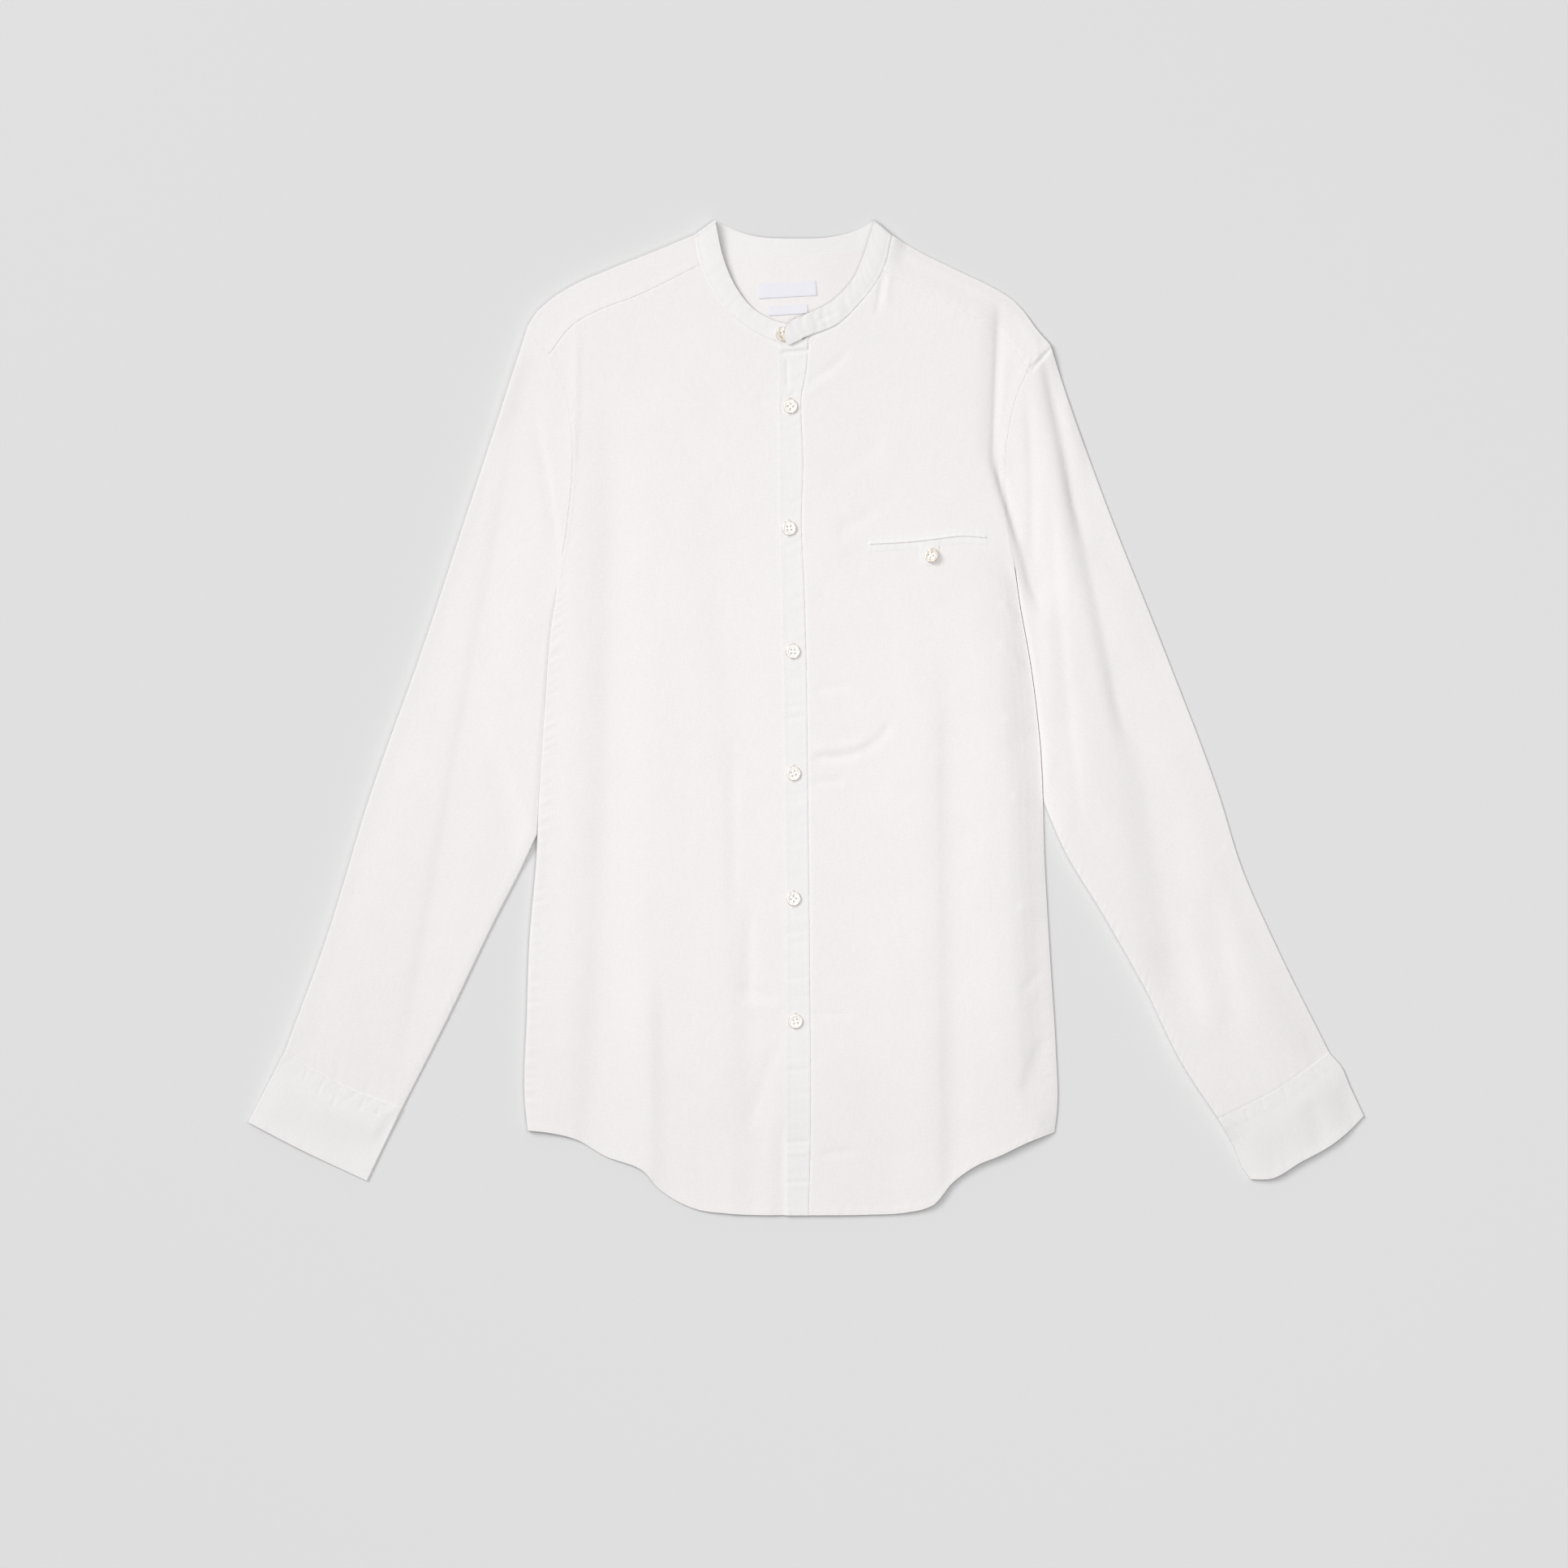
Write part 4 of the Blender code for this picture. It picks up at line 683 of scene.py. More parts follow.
def puckered(off, run, seed, seam):
    """Puckers beside a seam, by distance off it and run along it."""
    height, pitch, reach = PUCKERED[seam]
    return height * puckers(run, pitch, seed) * near(off, reach)


def turned_edge(off, run, seed, edge):
    """Height of a turned, topstitched edge, by distance off it and run along it."""
    turn, ridge, pucker, pitch, reach = TURNED[edge]
    double = ridge * (1 - ease((off - turn) / TURN_STEP))
    sunk = -0.5 * ridge * near(off - turn, STITCH_GROOVE)
    return double + sunk + pucker * puckers(run + 0.5 * off, pitch, seed) * near(off, reach)


def tucked_edge(off, dip=DIP):
    """How far an edge goes down to run under its neighbour's turned edge."""
    return -dip * (1 - ease(off / DIP_REACH))


# ---------------------------------------------------------------------- mesh making
def wall_mesh(name, outer, inner, ring=False, keep=None, grain=None):
    """A closed wall: a fine outer face and an inner one of half as many rows and columns.

    Rows are odd in number. Columns are odd too, or even where they close into a ring.
    keep says which blocks of two by two cells to build. The map named grain holds each
    point's place across and along the threads, in metres: the runs, where none is given.
    """
    rows, columns = outer.shape[:2]
    high, wide = rows // 2, columns // 2
    blocks = np.ones((high, wide), bool) if keep is None else keep
    inner_columns = wide if ring else wide + 1
    if grain is None:
        grain = np.stack(runs(outer), -1)
    grain = (np.concatenate([grain, grain[:, :1]], 1) if ring else grain) * MM

    def outer_id(r, c):
        return r * columns + c % columns

    def inner_id(i, j):
        return rows * columns + i * inner_columns + j % inner_columns

    def faces(spots):
        """Vertex numbers and grain of faces, from (on the outer side, row, column)."""
        numbers, places = [], []
        for side, r, c in spots:
            numbers.append(outer_id(r, c) if side else inner_id(r // 2, c // 2))
            places.append(grain[r, c])
        return np.stack(numbers, 1), np.stack(places, 1)

    cells = np.repeat(np.repeat(blocks, 2, 0), 2, 1)
    r, c = np.nonzero(cells)
    built = [faces([(1, r, c), (1, r + 1, c), (1, r + 1, c + 1), (1, r, c + 1)])]
    i, j = (2 * k for k in np.nonzero(blocks))
    built.append(faces([(0, i, j), (0, i, j + 2), (0, i + 2, j + 2), (0, i + 2, j)]))
    around = np.pad(blocks, ((1, 1), (0, 0)))
    around = np.pad(around, ((0, 0), (1, 1)), mode="wrap" if ring else "constant")
    # each border: the missing neighbour, then the block's corners along it, outer side
    for (di, dj), (a, b) in (((0, -1), ((2, 0), (0, 0))), ((1, 0), ((2, 2), (2, 0))),
                             ((0, 1), ((0, 2), (2, 2))), ((-1, 0), ((0, 0), (0, 2)))):
        missing = ~around[1 + di:1 + di + high, 1 + dj:1 + dj + wide]
        i, j = (2 * k for k in np.nonzero(blocks & missing))
        middle = ((a[0] + b[0]) // 2, (a[1] + b[1]) // 2)
        built.append(faces([(1, i + a[0], j + a[1]), (1, i + middle[0], j + middle[1]),
                            (1, i + b[0], j + b[1]), (0, i + b[0], j + b[1]),
                            (0, i + a[0], j + a[1])]))
    points = np.concatenate([outer.reshape(-1, 3), inner[::2, ::2][:, :inner_columns].reshape(-1, 3)])
    upper = points[built[0][0]]
    volume = np.einsum("ij,ij->i", upper[:, 0], np.cross(upper[:, 1], upper[:, 3])).sum()
    lower = points[built[1][0]]
    volume += np.einsum("ij,ij->i", lower[:, 0], np.cross(lower[:, 1], lower[:, 3])).sum()
    if volume < 0:
        built = [(numbers[:, ::-1], places[:, ::-1]) for numbers, places in built]
    used, packed = np.unique(np.concatenate([numbers.ravel() for numbers, _ in built]),
                             return_inverse=True)
    corners, at = [], 0
    for numbers, _ in built:
        corners += packed[at:at + numbers.size].reshape(numbers.shape).tolist()
        at += numbers.size
    mesh = bpy.data.meshes.new(name)
    mesh.from_pydata((points[used] * MM).tolist(), [], corners)
    layer = mesh.uv_layers.new(name="grain")
    places = np.concatenate([places.reshape(-1, 2) for _, places in built])
    layer.uv.foreach_set("vector", places.astype(np.float32).ravel())
    mesh.shade_smooth()
    mesh.set_sharp_from_angle(angle=math.radians(50))
    return mesh


PIECES = {}


def place(name, data, spot=(0, 0, 0)):
    """A new object in the scene, at a spot in metres."""
    made = bpy.data.objects.new(name, data)
    made.location = spot
    bpy.context.scene.collection.objects.link(made)
    return made


def add_piece(name, mesh, material):
    """Puts a finished mesh into the scene, riding on the shirt's one body."""
    if material is not None:
        mesh.materials.clear()
        mesh.materials.append(material)
    PIECES[name] = place(name, mesh)
    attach(PIECES[name], "root")
    return PIECES[name]


def on_grain(plan, way=(0, -1)):
    """Places across and along the threads of cloth whose warp runs one way in plan."""
    way = np.array(way) / np.linalg.norm(way)
    return plan[..., :2] @ np.array([[-way[1], way[0]], [way[0], way[1]]])


def cloth(name, node, slot, outer, inner, ring=False, keep=None, way=(0, -1)):
    """A piece of cloth that stands for a node. inner is its inner face, or the wall's depth.

    way is how its warp runs in plan, or None where its threads follow its own rows.
    """
    if np.ndim(inner) == 0:
        inner = outer - (0, 0, inner)
    grain = None if way is None else on_grain(outer, way)
    piece = add_piece(name, wall_mesh(name, outer, inner, ring, keep, grain), FINISHES[slot])
    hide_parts(node)
    note_cut(outer, ring, keep)


def note_cut(outer, ring=False, keep=None):
    """Works out the area of each cell of a piece's outer face; the result is not kept."""
    closed = np.concatenate([outer, outer[:, :1]], 1) if ring else outer
    step_a = closed[1:, :-1] - closed[:-1, :-1]
    step_b = closed[:-1, 1:] - closed[:-1, :-1]
    cell = np.linalg.norm(np.cross(step_a, step_b), axis=-1)
    if keep is not None:
        cell = cell * np.repeat(np.repeat(keep, 2, 0), 2, 1)


# ---------------------------------------------------------------------- cloth pieces
SEAMS = []              # lines of topstitching, in mm


def topstitch(grid, from_edge, edge="top", keep=slice(None)):
    """Keeps a line to be stitched at one distance from a grid's edge, just on the cloth."""
    grid = {"top": grid, "bottom": grid[::-1], "first": swap(grid), "last": swap(grid)[::-1]}[edge]
    down = runs(grid[..., :2])[1]
    line = np.array([[np.interp(from_edge, down[:, c], grid[:, c, k]) for k in range(3)]
                     for c in range(grid.shape[1])])
    SEAMS.append(line[keep] + (0, 0, -STITCH_SINK))


def front_panel(side, yoke_seam, neck_seam, hem, armhole, side_seam, centre, height, seed):
    """A front: turned over the sleeve, tucked under yoke and band, round at the side."""
    edge, top = join(armhole, side_seam), join(yoke_seam, neck_seam)
    whole, width = length(edge), length(hem)
    underarm = length(armhole) / whole
    v = spaced(whole)
    start = SIDE_REACH / width
    turn = np.linspace(0, math.pi / 2, ROLL_STEPS + 1)[:-1]
    flat = start + (1 - start) * spaced(width * (1 - start), first=False)
    even = np.concatenate([np.linspace(0, start, ROLL_STEPS + 1)[:-1], flat])
    close = np.concatenate([start * (1 - np.cos(turn)), flat])
    rounding = ease((v - underarm) * whole / UNDERARM_BLEND)[:, None]
    plan = with_flange(patch(top, hem, edge, centre, even + rounding * (close - even), v))
    tuck = PLACKET_TUCK if side == "left" else 0
    if tuck:
        plan = swap(with_flange(swap(plan), last=True, reach=tuck))
    rounding = np.concatenate([np.zeros((2, 1)), rounding])
    across, down = runs(plan)
    foot = SIDE_FOOT
    if side == "right":
        by_y = plan[:, :1, 1]
        held = ease((by_y - HELD_FROM) / HELD_BLEND)
        foot += (HELD_FOOT - SIDE_FOOT) * held
        held = held * ease((armhole[-1][1] + HELD_ABOVE - by_y) / HELD_START)
        plan[..., 0] -= HELD_LAP * held * (1 - ease(across / SIDE_REACH))
    off_top, by_side = down - FLANGE, down[:, :1]
    finish = tucked_edge(off_top) + puckered(off_top, across, seed, "yoke seam")
    finish += (1 - rounding) * turned_edge(across, by_side, seed + 1, "armhole")
    finish += rounding * puckered(across - ALLOWANCE, by_side, seed + 2, "side seam")
    finish += turned_edge(down[-1] - down, across[-1:], seed + 3, "hem")
    if tuck:
        off_centre = across[:, -1:] - across - tuck
        finish += tucked_edge(off_centre, PLACKET_DIP)
        finish += puckered(off_centre, by_side, seed + 4, "placket")
    full = height(*spots(plan)) + finish
    risen = np.interp(across, *zip(*SIDE_RISE[side]))
    outer = with_height(plan, full + rounding * (1 - risen) * (foot - full))
    cloth(f"front_{side}_panel", f"front_{side}", "linen", outer, SHELL)
    arm_rows = int(np.searchsorted(v, underarm)) + 2
    topstitch(outer[:arm_rows], ALLOWANCE, "first", slice(3, None))
    topstitch(outer, HEM_TURN, "bottom", slice(4, None))


def back_panel():
    """The back, flat on the surface and up to the shirt's very sides."""
    def below_yoke(armhole):
        line = armhole_line(armhole)
        start = [[x_at(line, YOKE_SEAM_Y), YOKE_SEAM_Y]]
        return np.vstack([start, line[line[:, 1] < YOKE_SEAM_Y - 1]])

    first = join(below_yoke(ARMHOLE_RIGHT), smooth_line(SIDE_RIGHT))
    last = join(below_yoke(ARMHOLE_LEFT), smooth_line(SIDE_LEFT))
    u, v = (spaced(span, UNDER_STEP, UNDER_FINE) for span in (BACK_WIDTH, length(first)))
    plan = patch(np.array([first[0], last[0]]), HEM_LINE, first, last, u, v)
    plan[:, 0] += push(plan[:, 0], plan[:, 2], BACK_INSET)
    plan[:, -1] += push(plan[:, -1], plan[:, -3], BACK_INSET)
    hem_in = push(plan[-1], plan[-3], BACK_HEM_INSET)
    plan += hem_in * ease((v - 1) / BACK_HEM_SHARE + 1)[:, None, None]
    plan = with_flange(plan)
    across, down = runs(plan)
    lift = under_relief(*spots(plan), front_height(*spots(plan)))
    lift = lift * ease(off_sides(across) / BACK_CALM) - tucked_edge(down - FLANGE)
    lift += np.maximum(puckered(down[-1] - down, across[-1:], 61, "back hem"), 0)
    outer = with_height(plan, lift)
    cloth("back_panel", "back", "linen", outer, -SHELL)
    topstitch(outer, HEM_TURN, "bottom", slice(3, -3))


def yoke_panel():
    """The yoke: flat under the back, over both shoulders, down to its front seams."""
    t = spaced(SHOULDER_SPAN, 2, 1.1)
    neck = along(smooth_line(BAND_BACK)[:, :2], spaced(NECK_SPAN, 3.4, 3.4)[1:-1])

    def round_neck(right, left):
        return np.vstack([along(smooth_line(right), t), neck, along(smooth_line(left), t)[::-1]])

    fold = round_neck(SHOULDER_RIGHT, SHOULDER_LEFT)
    seam = round_neck(YOKE_FRONT_RIGHT, YOKE_FRONT_LEFT)
    columns = len(fold)
    right_edge, left_edge = len(t) - 1, columns - len(t)
    towards = fold - seam
    reach = np.linalg.norm(towards, axis=1)[:, None]
    towards = towards / np.where(reach > 0, reach, 1)
    roll_start = fold - ROLL * towards
    ends = []
    for armhole, corner in ((ARMHOLE_RIGHT, roll_start[0]), (ARMHOLE_LEFT, roll_start[-1])):
        arm = armhole_line(armhole)
        part = arm[(arm[:, 1] > YOKE_SEAM_Y) & (arm[:, 1] < corner[1])]
        ends.append(np.vstack([corner, part, [x_at(arm, YOKE_SEAM_Y), YOKE_SEAM_Y]]))
    u = np.concatenate([[0], np.cumsum(np.linalg.norm(np.diff(roll_start, axis=0), axis=1))])
    v = spaced(YOKE_DEPTH, UNDER_STEP, 2)[::-1]
    back = patch(roll_start, np.array([ends[0][-1], ends[1][-1]]), *ends, u / u[-1], v)
    steps = np.concatenate([np.linspace(0, 0.55, 13)[:-1], np.linspace(0.55, 1, 16)])
    steps = steps[:-1] if (len(v) + len(HALF_TURN) + len(steps)) % 2 == 0 else steps
    front = roll_start + (seam - roll_start) * (steps / steps[-1])[:, None, None]
    sides = []
    for reach_in, low, high in ((ROLL, 0, LOFT), (ROLL - SHELL, SHELL, LOFT - SHELL)):
        middle, half = (high + low) / 2, (high - low) / 2
        roll = roll_start + towards * (reach_in * np.sin(HALF_TURN))[:, None, None]
        level = np.concatenate([np.full(len(v), low), middle - half * np.cos(HALF_TURN),
                                np.full(len(front), high)])
        plan = np.concatenate([back, roll, front])
        sides.append((plan, np.broadcast_to(level[:, None], plan.shape[:2])))
    plan = sides[0][0].copy()
    moves = np.zeros_like(plan)
    last_back, first_front = len(v) - 1, len(v) + len(HALF_TURN)
    front_rows = slice(first_front, len(plan))
    for column, inside in ((right_edge, right_edge - 2), (left_edge, left_edge + 2)):
        moves[front_rows, column] = push(plan[front_rows, column], plan[front_rows, inside], -NECK_LAP)
        moves[len(v):first_front, column] = moves[first_front, column]
    neck_columns = slice(right_edge, left_edge + 1)
    moves[last_back, neck_columns] = push(plan[last_back, neck_columns],
                                          plan[last_back - 2, neck_columns], -NECK_LAP)
    across, down = runs(plan)
    over = ease((sides[0][1] - SHELL) / (LOFT - SHELL))
    off_seam, off_left = down[-1] - down, across[:, -1:] - across
    finish = turned_edge(off_seam, across[-1:], 21, "yoke seam")
    finish += turned_edge(across, down, 22, "armhole") + turned_edge(off_left, down, 23, "armhole")
    off_necks = [np.abs(across - across[:, column:column + 1]) for column in (right_edge, left_edge)]
    finish += sum(tucked_edge(off_neck, HELD_DIP) for off_neck in off_necks)
    off_fold = np.maximum(down - down[first_front], 0)
    sunk = slumped(off_fold, SHOULDER_SLUMP[:1]) * ease(off_left / SLUMP_FADE)
    sunk += slumped(off_fold, SHOULDER_SLUMP[1:])
    sunk *= (np.arange(columns) > left_edge) * ease(off_necks[1] / 15) * ease((off_seam - 1) / 17)
    lift = over * (relief(*spots(plan)) + finish - sunk)
    off_back_neck = np.linalg.norm(plan - plan[last_back], axis=-1)
    calm = ease(off_back_neck / 18) * ease(down / 10) * ease(off_sides(across) / 10)
    lift += (1 - over) * (under_relief(*spots(plan), LOFT) * 0.6 * calm + inside_lift(*spots(plan)))
    outer, inner = (with_height(plan + moves, level + lift) for plan, level in sides)
    blocks = np.ones(((len(plan) - 1) // 2, (columns - 1) // 2), bool)
    blocks[last_back // 2:, right_edge // 2:left_edge // 2] = False
    cloth("yoke_panel", "yoke", "linen", outer, inner, keep=blocks)
    for half in (outer[front_rows, :right_edge - 1], outer[front_rows, left_edge + 2:]):
        topstitch(half, STITCHED_AT["yoke"], "bottom")


def steps_below(top_steps):
    """How many steps a tube's underside has, for those of its top."""
    return max(8, 2 * (top_steps // 6))


def flat_ring(width, wall, top_steps):
    """Across and up of a flattened tube: its outer face and, wall deep, its inner."""
    half = LOFT / 2
    roll = max(ROLL, wall + 0.3)
    under = np.linspace(roll, width - roll, steps_below(top_steps) + 1)
    over = np.linspace(width - roll, roll, top_steps + 1)
    faces = []
    for depth in (0, wall):
        reach, lift = (roll - depth) * np.sin(HALF_TURN), half - depth
        rise = lift * np.cos(HALF_TURN)
        across = np.concatenate([under, width - roll + reach, over, roll - reach])
        up = np.concatenate([np.full(len(under), half - lift), half - rise,
                             np.full(len(over), half + lift), half + rise])
        faces.append((across, up))
    return faces


def tube(outer_edge, inner_edge, stations, first_bow, last_bow, wall, top_steps, finish,
         flanges=(0, 0), table=()):
    """A flattened tube between two edge lines, with its inner edge last across.

    A bow is how an end's points move, the share of the length over which that fades, and
    the share of the width by the inner edge that has none. finish gives a point's height.
    """
    across = np.linspace(0, 1, TUBE_SAMPLES)
    start, end = along(outer_edge, stations)[:, None], along(inner_edge, stations)[:, None]
    plan = start + (end - start) * across[None, :, None]
    for moves, fade, held, order in ((*first_bow, stations), (*last_bow, 1 - stations)):
        held_off = ease((across - 1 + 2 * held) / held) if held else np.zeros_like(across)
        kept = 1 - held_off * ease(order / HELD_FADE)[:, None]
        plan += moves * ((1 - ease(order / fade))[:, None] * kept)[..., None]
    for last, reach in enumerate(flanges):
        if reach:
            plan = with_flange(plan, bool(last), reach)
    down = runs(plan)[1]
    sides = ([], [])
    for number, line in enumerate(plan):
        width = length(line)
        ring = flat_ring(width, wall, top_steps)
        share, weight = ring[0][0] / width, ring[0][1] / LOFT
        off_first = np.interp(share, across, down[number])
        off_last = np.interp(share, across, down[-1]) - off_first - flanges[1]
        for side, (distance, up) in zip(sides, ring):
            point = along(line, distance / width)
            x, y = point.T
            high = relief(x, y) + creased(x, y, table)
            under = under_relief(x, y, LOFT + high) * (1 - weight) ** 2 * ease((3.2 - up) / 1.6)
            under = under * ease((np.minimum(distance, width - distance) - 4) / 30)
            side.append(with_height(point, finish(off_first - flanges[0], off_last, distance,
                                                  width - distance, up, high * weight ** 2 + under)))
    return np.array(sides[0]), np.array(sides[1])


def chord_moves(line):
    """How a line's points lie off its chord, at a tube's samples."""
    across = np.linspace(0, 1, TUBE_SAMPLES)
    return along(line, across) - (line[0] + (line[-1] - line[0]) * across[:, None])


def bow_moves(start, end, table, outward):
    """Moves square to a chord, by a table of shares of the chord and distances."""
    run = np.subtract(end, start)
    width = np.linalg.norm(run)
    square = np.array([-run[1], run[0]]) / width
    square *= np.sign(square @ outward)
    bow = smooth_line([(share * width, out) for share, out in table])
    distance = np.interp(np.linspace(0, width, TUBE_SAMPLES), bow[:, 0], bow[:, 1])
    return distance[:, None] * square


def slumped(off, dips):
    """How far cloth sinks towards an edge."""
    return sum(depth * np.exp(-(off / reach) ** 2) for depth, reach in dips)


def pinched(up, dip, off):
    """Draws a tube's two sides together near an end that its neighbour covers."""
    half = LOFT / 2
    return half + (up - half) * (1 - dip / half * (1 - ease(off / DIP_REACH)))


def sleeve_and_cuff(side, armhole, outer, body_side, inner_low, cuff_outer, cuff_inner,
                    cuff_end_bow, seed):
    """One sleeve, tucked under the body's turned armhole, and its cuff over its end."""
    away = np.array([-SIDE_CLEARANCE if side == "right" else SIDE_CLEARANCE, 0])
    to_hand = np.array([0, -1])
    body = smooth_line(body_side)
    beside = body[body[:, 1] > inner_low[0][1]] + away
    beside[0] = armhole[-1]
    inner = np.vstack([beside, smooth_line(inner_low) + away])
    cuff_seam = bow_moves(outer[-1], inner_low[-1] + away, CUFF_SEAM_BOW, to_hand)
    cuff_end = bow_moves(cuff_outer[-1], cuff_inner[-1], cuff_end_bow, to_hand)
    leaves = length(beside)
    slump, cuff_slump = SLEEVE_SLUMP[side], CUFF_SLUMP[side]

    def sleeve_finish(off_head, off_cuff, distance, off_inner, up, lift):
        free = ease((off_head - leaves) / 40)
        waves = puckered(off_cuff, distance + 0.2 * off_cuff, seed, "cuff seam")
        waves += puckered(off_head, distance, seed + 1, "sleeve head")
        waves += puckered(off_inner, off_head, seed + 2, "sleeve seam") * free
        sunk = slumped(distance, slump["outer"][:1]) * ease(off_head / SLUMP_FADE)
        sunk += slumped(distance, slump["outer"][1:])
        sunk += slumped(off_inner, slump["held"]) * (1 - free) + slumped(off_inner, slump["free"]) * free
        lift = lift + ease(up / LOFT) * (waves - sunk)
        return pinched(pinched(raised(up, lift, LEAST), DIP, off_head), HELD_DIP, off_cuff)

    def cuff_finish(off_seam, off_end, distance, off_inner, up, lift):
        waves = turned_edge(off_seam, distance, seed + 4, "cuff seam")
        waves += turned_edge(off_end, distance, seed + 5, "cuff end")
        share = ease(off_seam / CUFF_BLEND)
        sunk = (slumped(distance, slump["outer"]) + slumped(off_inner, slump["free"])) * (1 - share)
        sunk += (slumped(distance, cuff_slump["outer"]) + slumped(off_inner, cuff_slump["inner"])) * share
        depth, run = CUFF_FALL[side]
        sunk += depth * (1 - ease((off_end - 4) / run))
        return raised(up, lift + ease(up / LOFT) * (BAND_PROUD + waves - sunk), LEAST + DOUBLE)

    outside, cuff_outside, cuff_inside = map(smooth_line, (outer, cuff_outer, cuff_inner))
    run = spaced(length(outside), 1.8, FINE)
    armhole_bow = (chord_moves(armhole_line(armhole)), ARMHOLE_FADE, ARMHOLE_HELD)
    sides = tube(outside, inner, run, armhole_bow, (cuff_seam, CUFF_SEAM_FADE, 0), SHELL,
                 SLEEVE_STEPS, sleeve_finish, (FLANGE, CUFF_TUCK))
    cloth(f"sleeve_{side}_cloth", f"sleeve_{side}", "linen", *sides, ring=True,
          way=np.subtract(outer[-1], outer[0]))
    cuff_inside += away * np.linspace(1, 0, len(cuff_inside))[:, None]
    run = spaced(length(cuff_outside), 1.3, 0.8)
    sides = tube(cuff_outside, cuff_inside, run, (cuff_seam, 1, 0), (cuff_end, 1, 0), DOUBLE,
                 CUFF_STEPS, cuff_finish, (0, 0), CUFF_CREASES)
    cloth(f"cuff_{side}_cloth", f"cuff_{side}", "trim_linen", *sides, ring=True,
          way=np.subtract(cuff_outer[-1], cuff_outer[0]))
    under = steps_below(CUFF_STEPS) + 1 + len(HALF_TURN)
    top = sides[0][:, under:under + CUFF_STEPS + 1]
    for off, edge in CUFF_LINES:
        topstitch(top, off, edge)


def placket_height(x, y):
    return front_height(x, y) + LAP


def placket_strip():
    """The buttonhole strip on the right front, turned over the left front's edge."""
    left = smooth_line(PLACKET_LEFT_EDGE)
    u, v = spaced(PLACKET_WIDTH, 1, 0.7, reach=4), spaced(PLACKET_LENGTH, 1.5, 0.9)
    plan = patch(smooth_line(PLACKET_TOP), np.array([left[-1], SEAM_LINE[-1]]), left, SEAM_LINE, u, v)
    across, down = runs(plan)
    by_edge, off_seam = down[:, :1], across[:, -1:] - across
    high = placket_height(*spots(plan)) + creased(*spots(plan), PLACKET_CREASES)
    high += turned_edge(off_seam, by_edge, 41, "placket seam")
    high += turned_edge(across, by_edge, 42, "placket edge")
    high += turned_edge(down[-1] - down, across, 43, "placket hem") + wavy(by_edge, 44, "placket")
    rounded = 0.2 * (1 - ease(off_sides(across)))
    outer = with_height(plan, high - rounded)
    cloth("placket_strip", "placket", "trim_linen", outer, with_height(plan, high - TRIM))
    for edge, side in (("placket seam", "last"), ("placket edge", "first"), ("placket hem", "bottom")):
        topstitch(outer, TURNED[edge][0], side)


def band_wing(ribs, bow):
    """Outer face of a part of the band, from the first of its ribs to the last."""
    line = smooth_line(ribs, steps=12)
    across = np.linspace(0, 1, BAND_STEPS + 1)
    seam, edge = line[:, None, 0:2], line[:, None, 2:4]
    plan = seam + (edge - seam) * across[:, None]
    high = line[:, 4:5] + (line[:, 5:6] - line[:, 4:5]) * across + BAND_CROWN * np.sin(math.pi * across)
    travel = np.linalg.norm(line[:, 0:2] - line[0, 0:2], axis=1)
    pull = bow * (1 - ease(travel / BAND_END_REACH))
    plan[..., 0] -= pull[:, None] * np.sin(math.pi * across) ** 0.5
    return with_height(plan, high)


def collar_band():
    """The collar band: front half, crease, back, crease, other front half."""
    right, left = band_wing(BAND_RIGHT, 0), band_wing(BAND_LEFT, BAND_END_BOW)
    back = band_wing(BAND_BACK, 0)
    for number, wing in enumerate((right, left)):
        x, y = spots(wing)
        off_edge = np.linalg.norm(wing[..., :2] - wing[:, :1, :2], axis=-1)
        run = runs(wing[..., :2])[1]
        add = creased(x, y, BAND_CREASES) if number else 0.3 * creased(-x - 30, y, BAND_CREASES)
        add = add + BAND_PROUD + wavy(run + 0.6 * off_edge, 51 + number, "band")
        add = add + ridges(off_edge, BAND_EDGE)
        wing[..., 2] += add - 0.3 * (1 - ease(off_edge / 0.6))
    run = runs(back[..., :2])[1]
    back[..., 2] += np.maximum(wavy(run, 53, "band back"), 0) - BAND_CROWN * np.sin(
        math.pi * np.linspace(0, 1, back.shape[1]))
    lower = np.array([0, 0, DOUBLE])

    def crease(wing, back_rib, facing):
        """Stations that roll the band over, from the wing's last rib down to the back's."""
        ways = np.linspace(*facing, len(wing[-1]))
        ways /= np.linalg.norm(ways, axis=1)[:, None]
        top, low = wing[-1].copy(), back_rib.copy()
        reach = np.linspace(CREASE_ROLL, CREASE_ROLL + 0.5, len(top))[:, None]
        top[:, :2] -= ways * reach
        middle, half = (top[:, 2] + low[:, 2]) / 2, (top[:, 2] - low[:, 2]) / 2
        faces = ([], [])
        for angle in HALF_TURN:
            for face, depth in zip(faces, (0, DOUBLE)):
                plan = top[:, :2] + ways * (reach - depth) * math.sin(angle)
                face.append(with_height(plan, middle + (half - depth) * math.cos(angle)))
        return top, faces

    right[-1], right_roll = crease(right, back[0], BAND_CREASE_RIGHT)
    left[-1], left_roll = crease(left, back[-1], BAND_CREASE_LEFT)
    back[0, :, :2], back[-1, :, :2] = right[-1, :, :2], left[-1, :, :2]
    outer = np.concatenate([right, right_roll[0], back, left_roll[0][::-1], left[::-1]])
    inner = np.concatenate([right - lower, right_roll[1], back + lower, left_roll[1][::-1],
                            left[::-1] - lower])
    cloth("band_cloth", "collar_band", "trim_linen", outer, inner, way=None)
    for wing in (right, left):
        topstitch(wing[:-1], STITCHED_AT["band seam"], "first")
        topstitch(wing[:-1], STITCHED_AT["band edge"], "last")
    return right


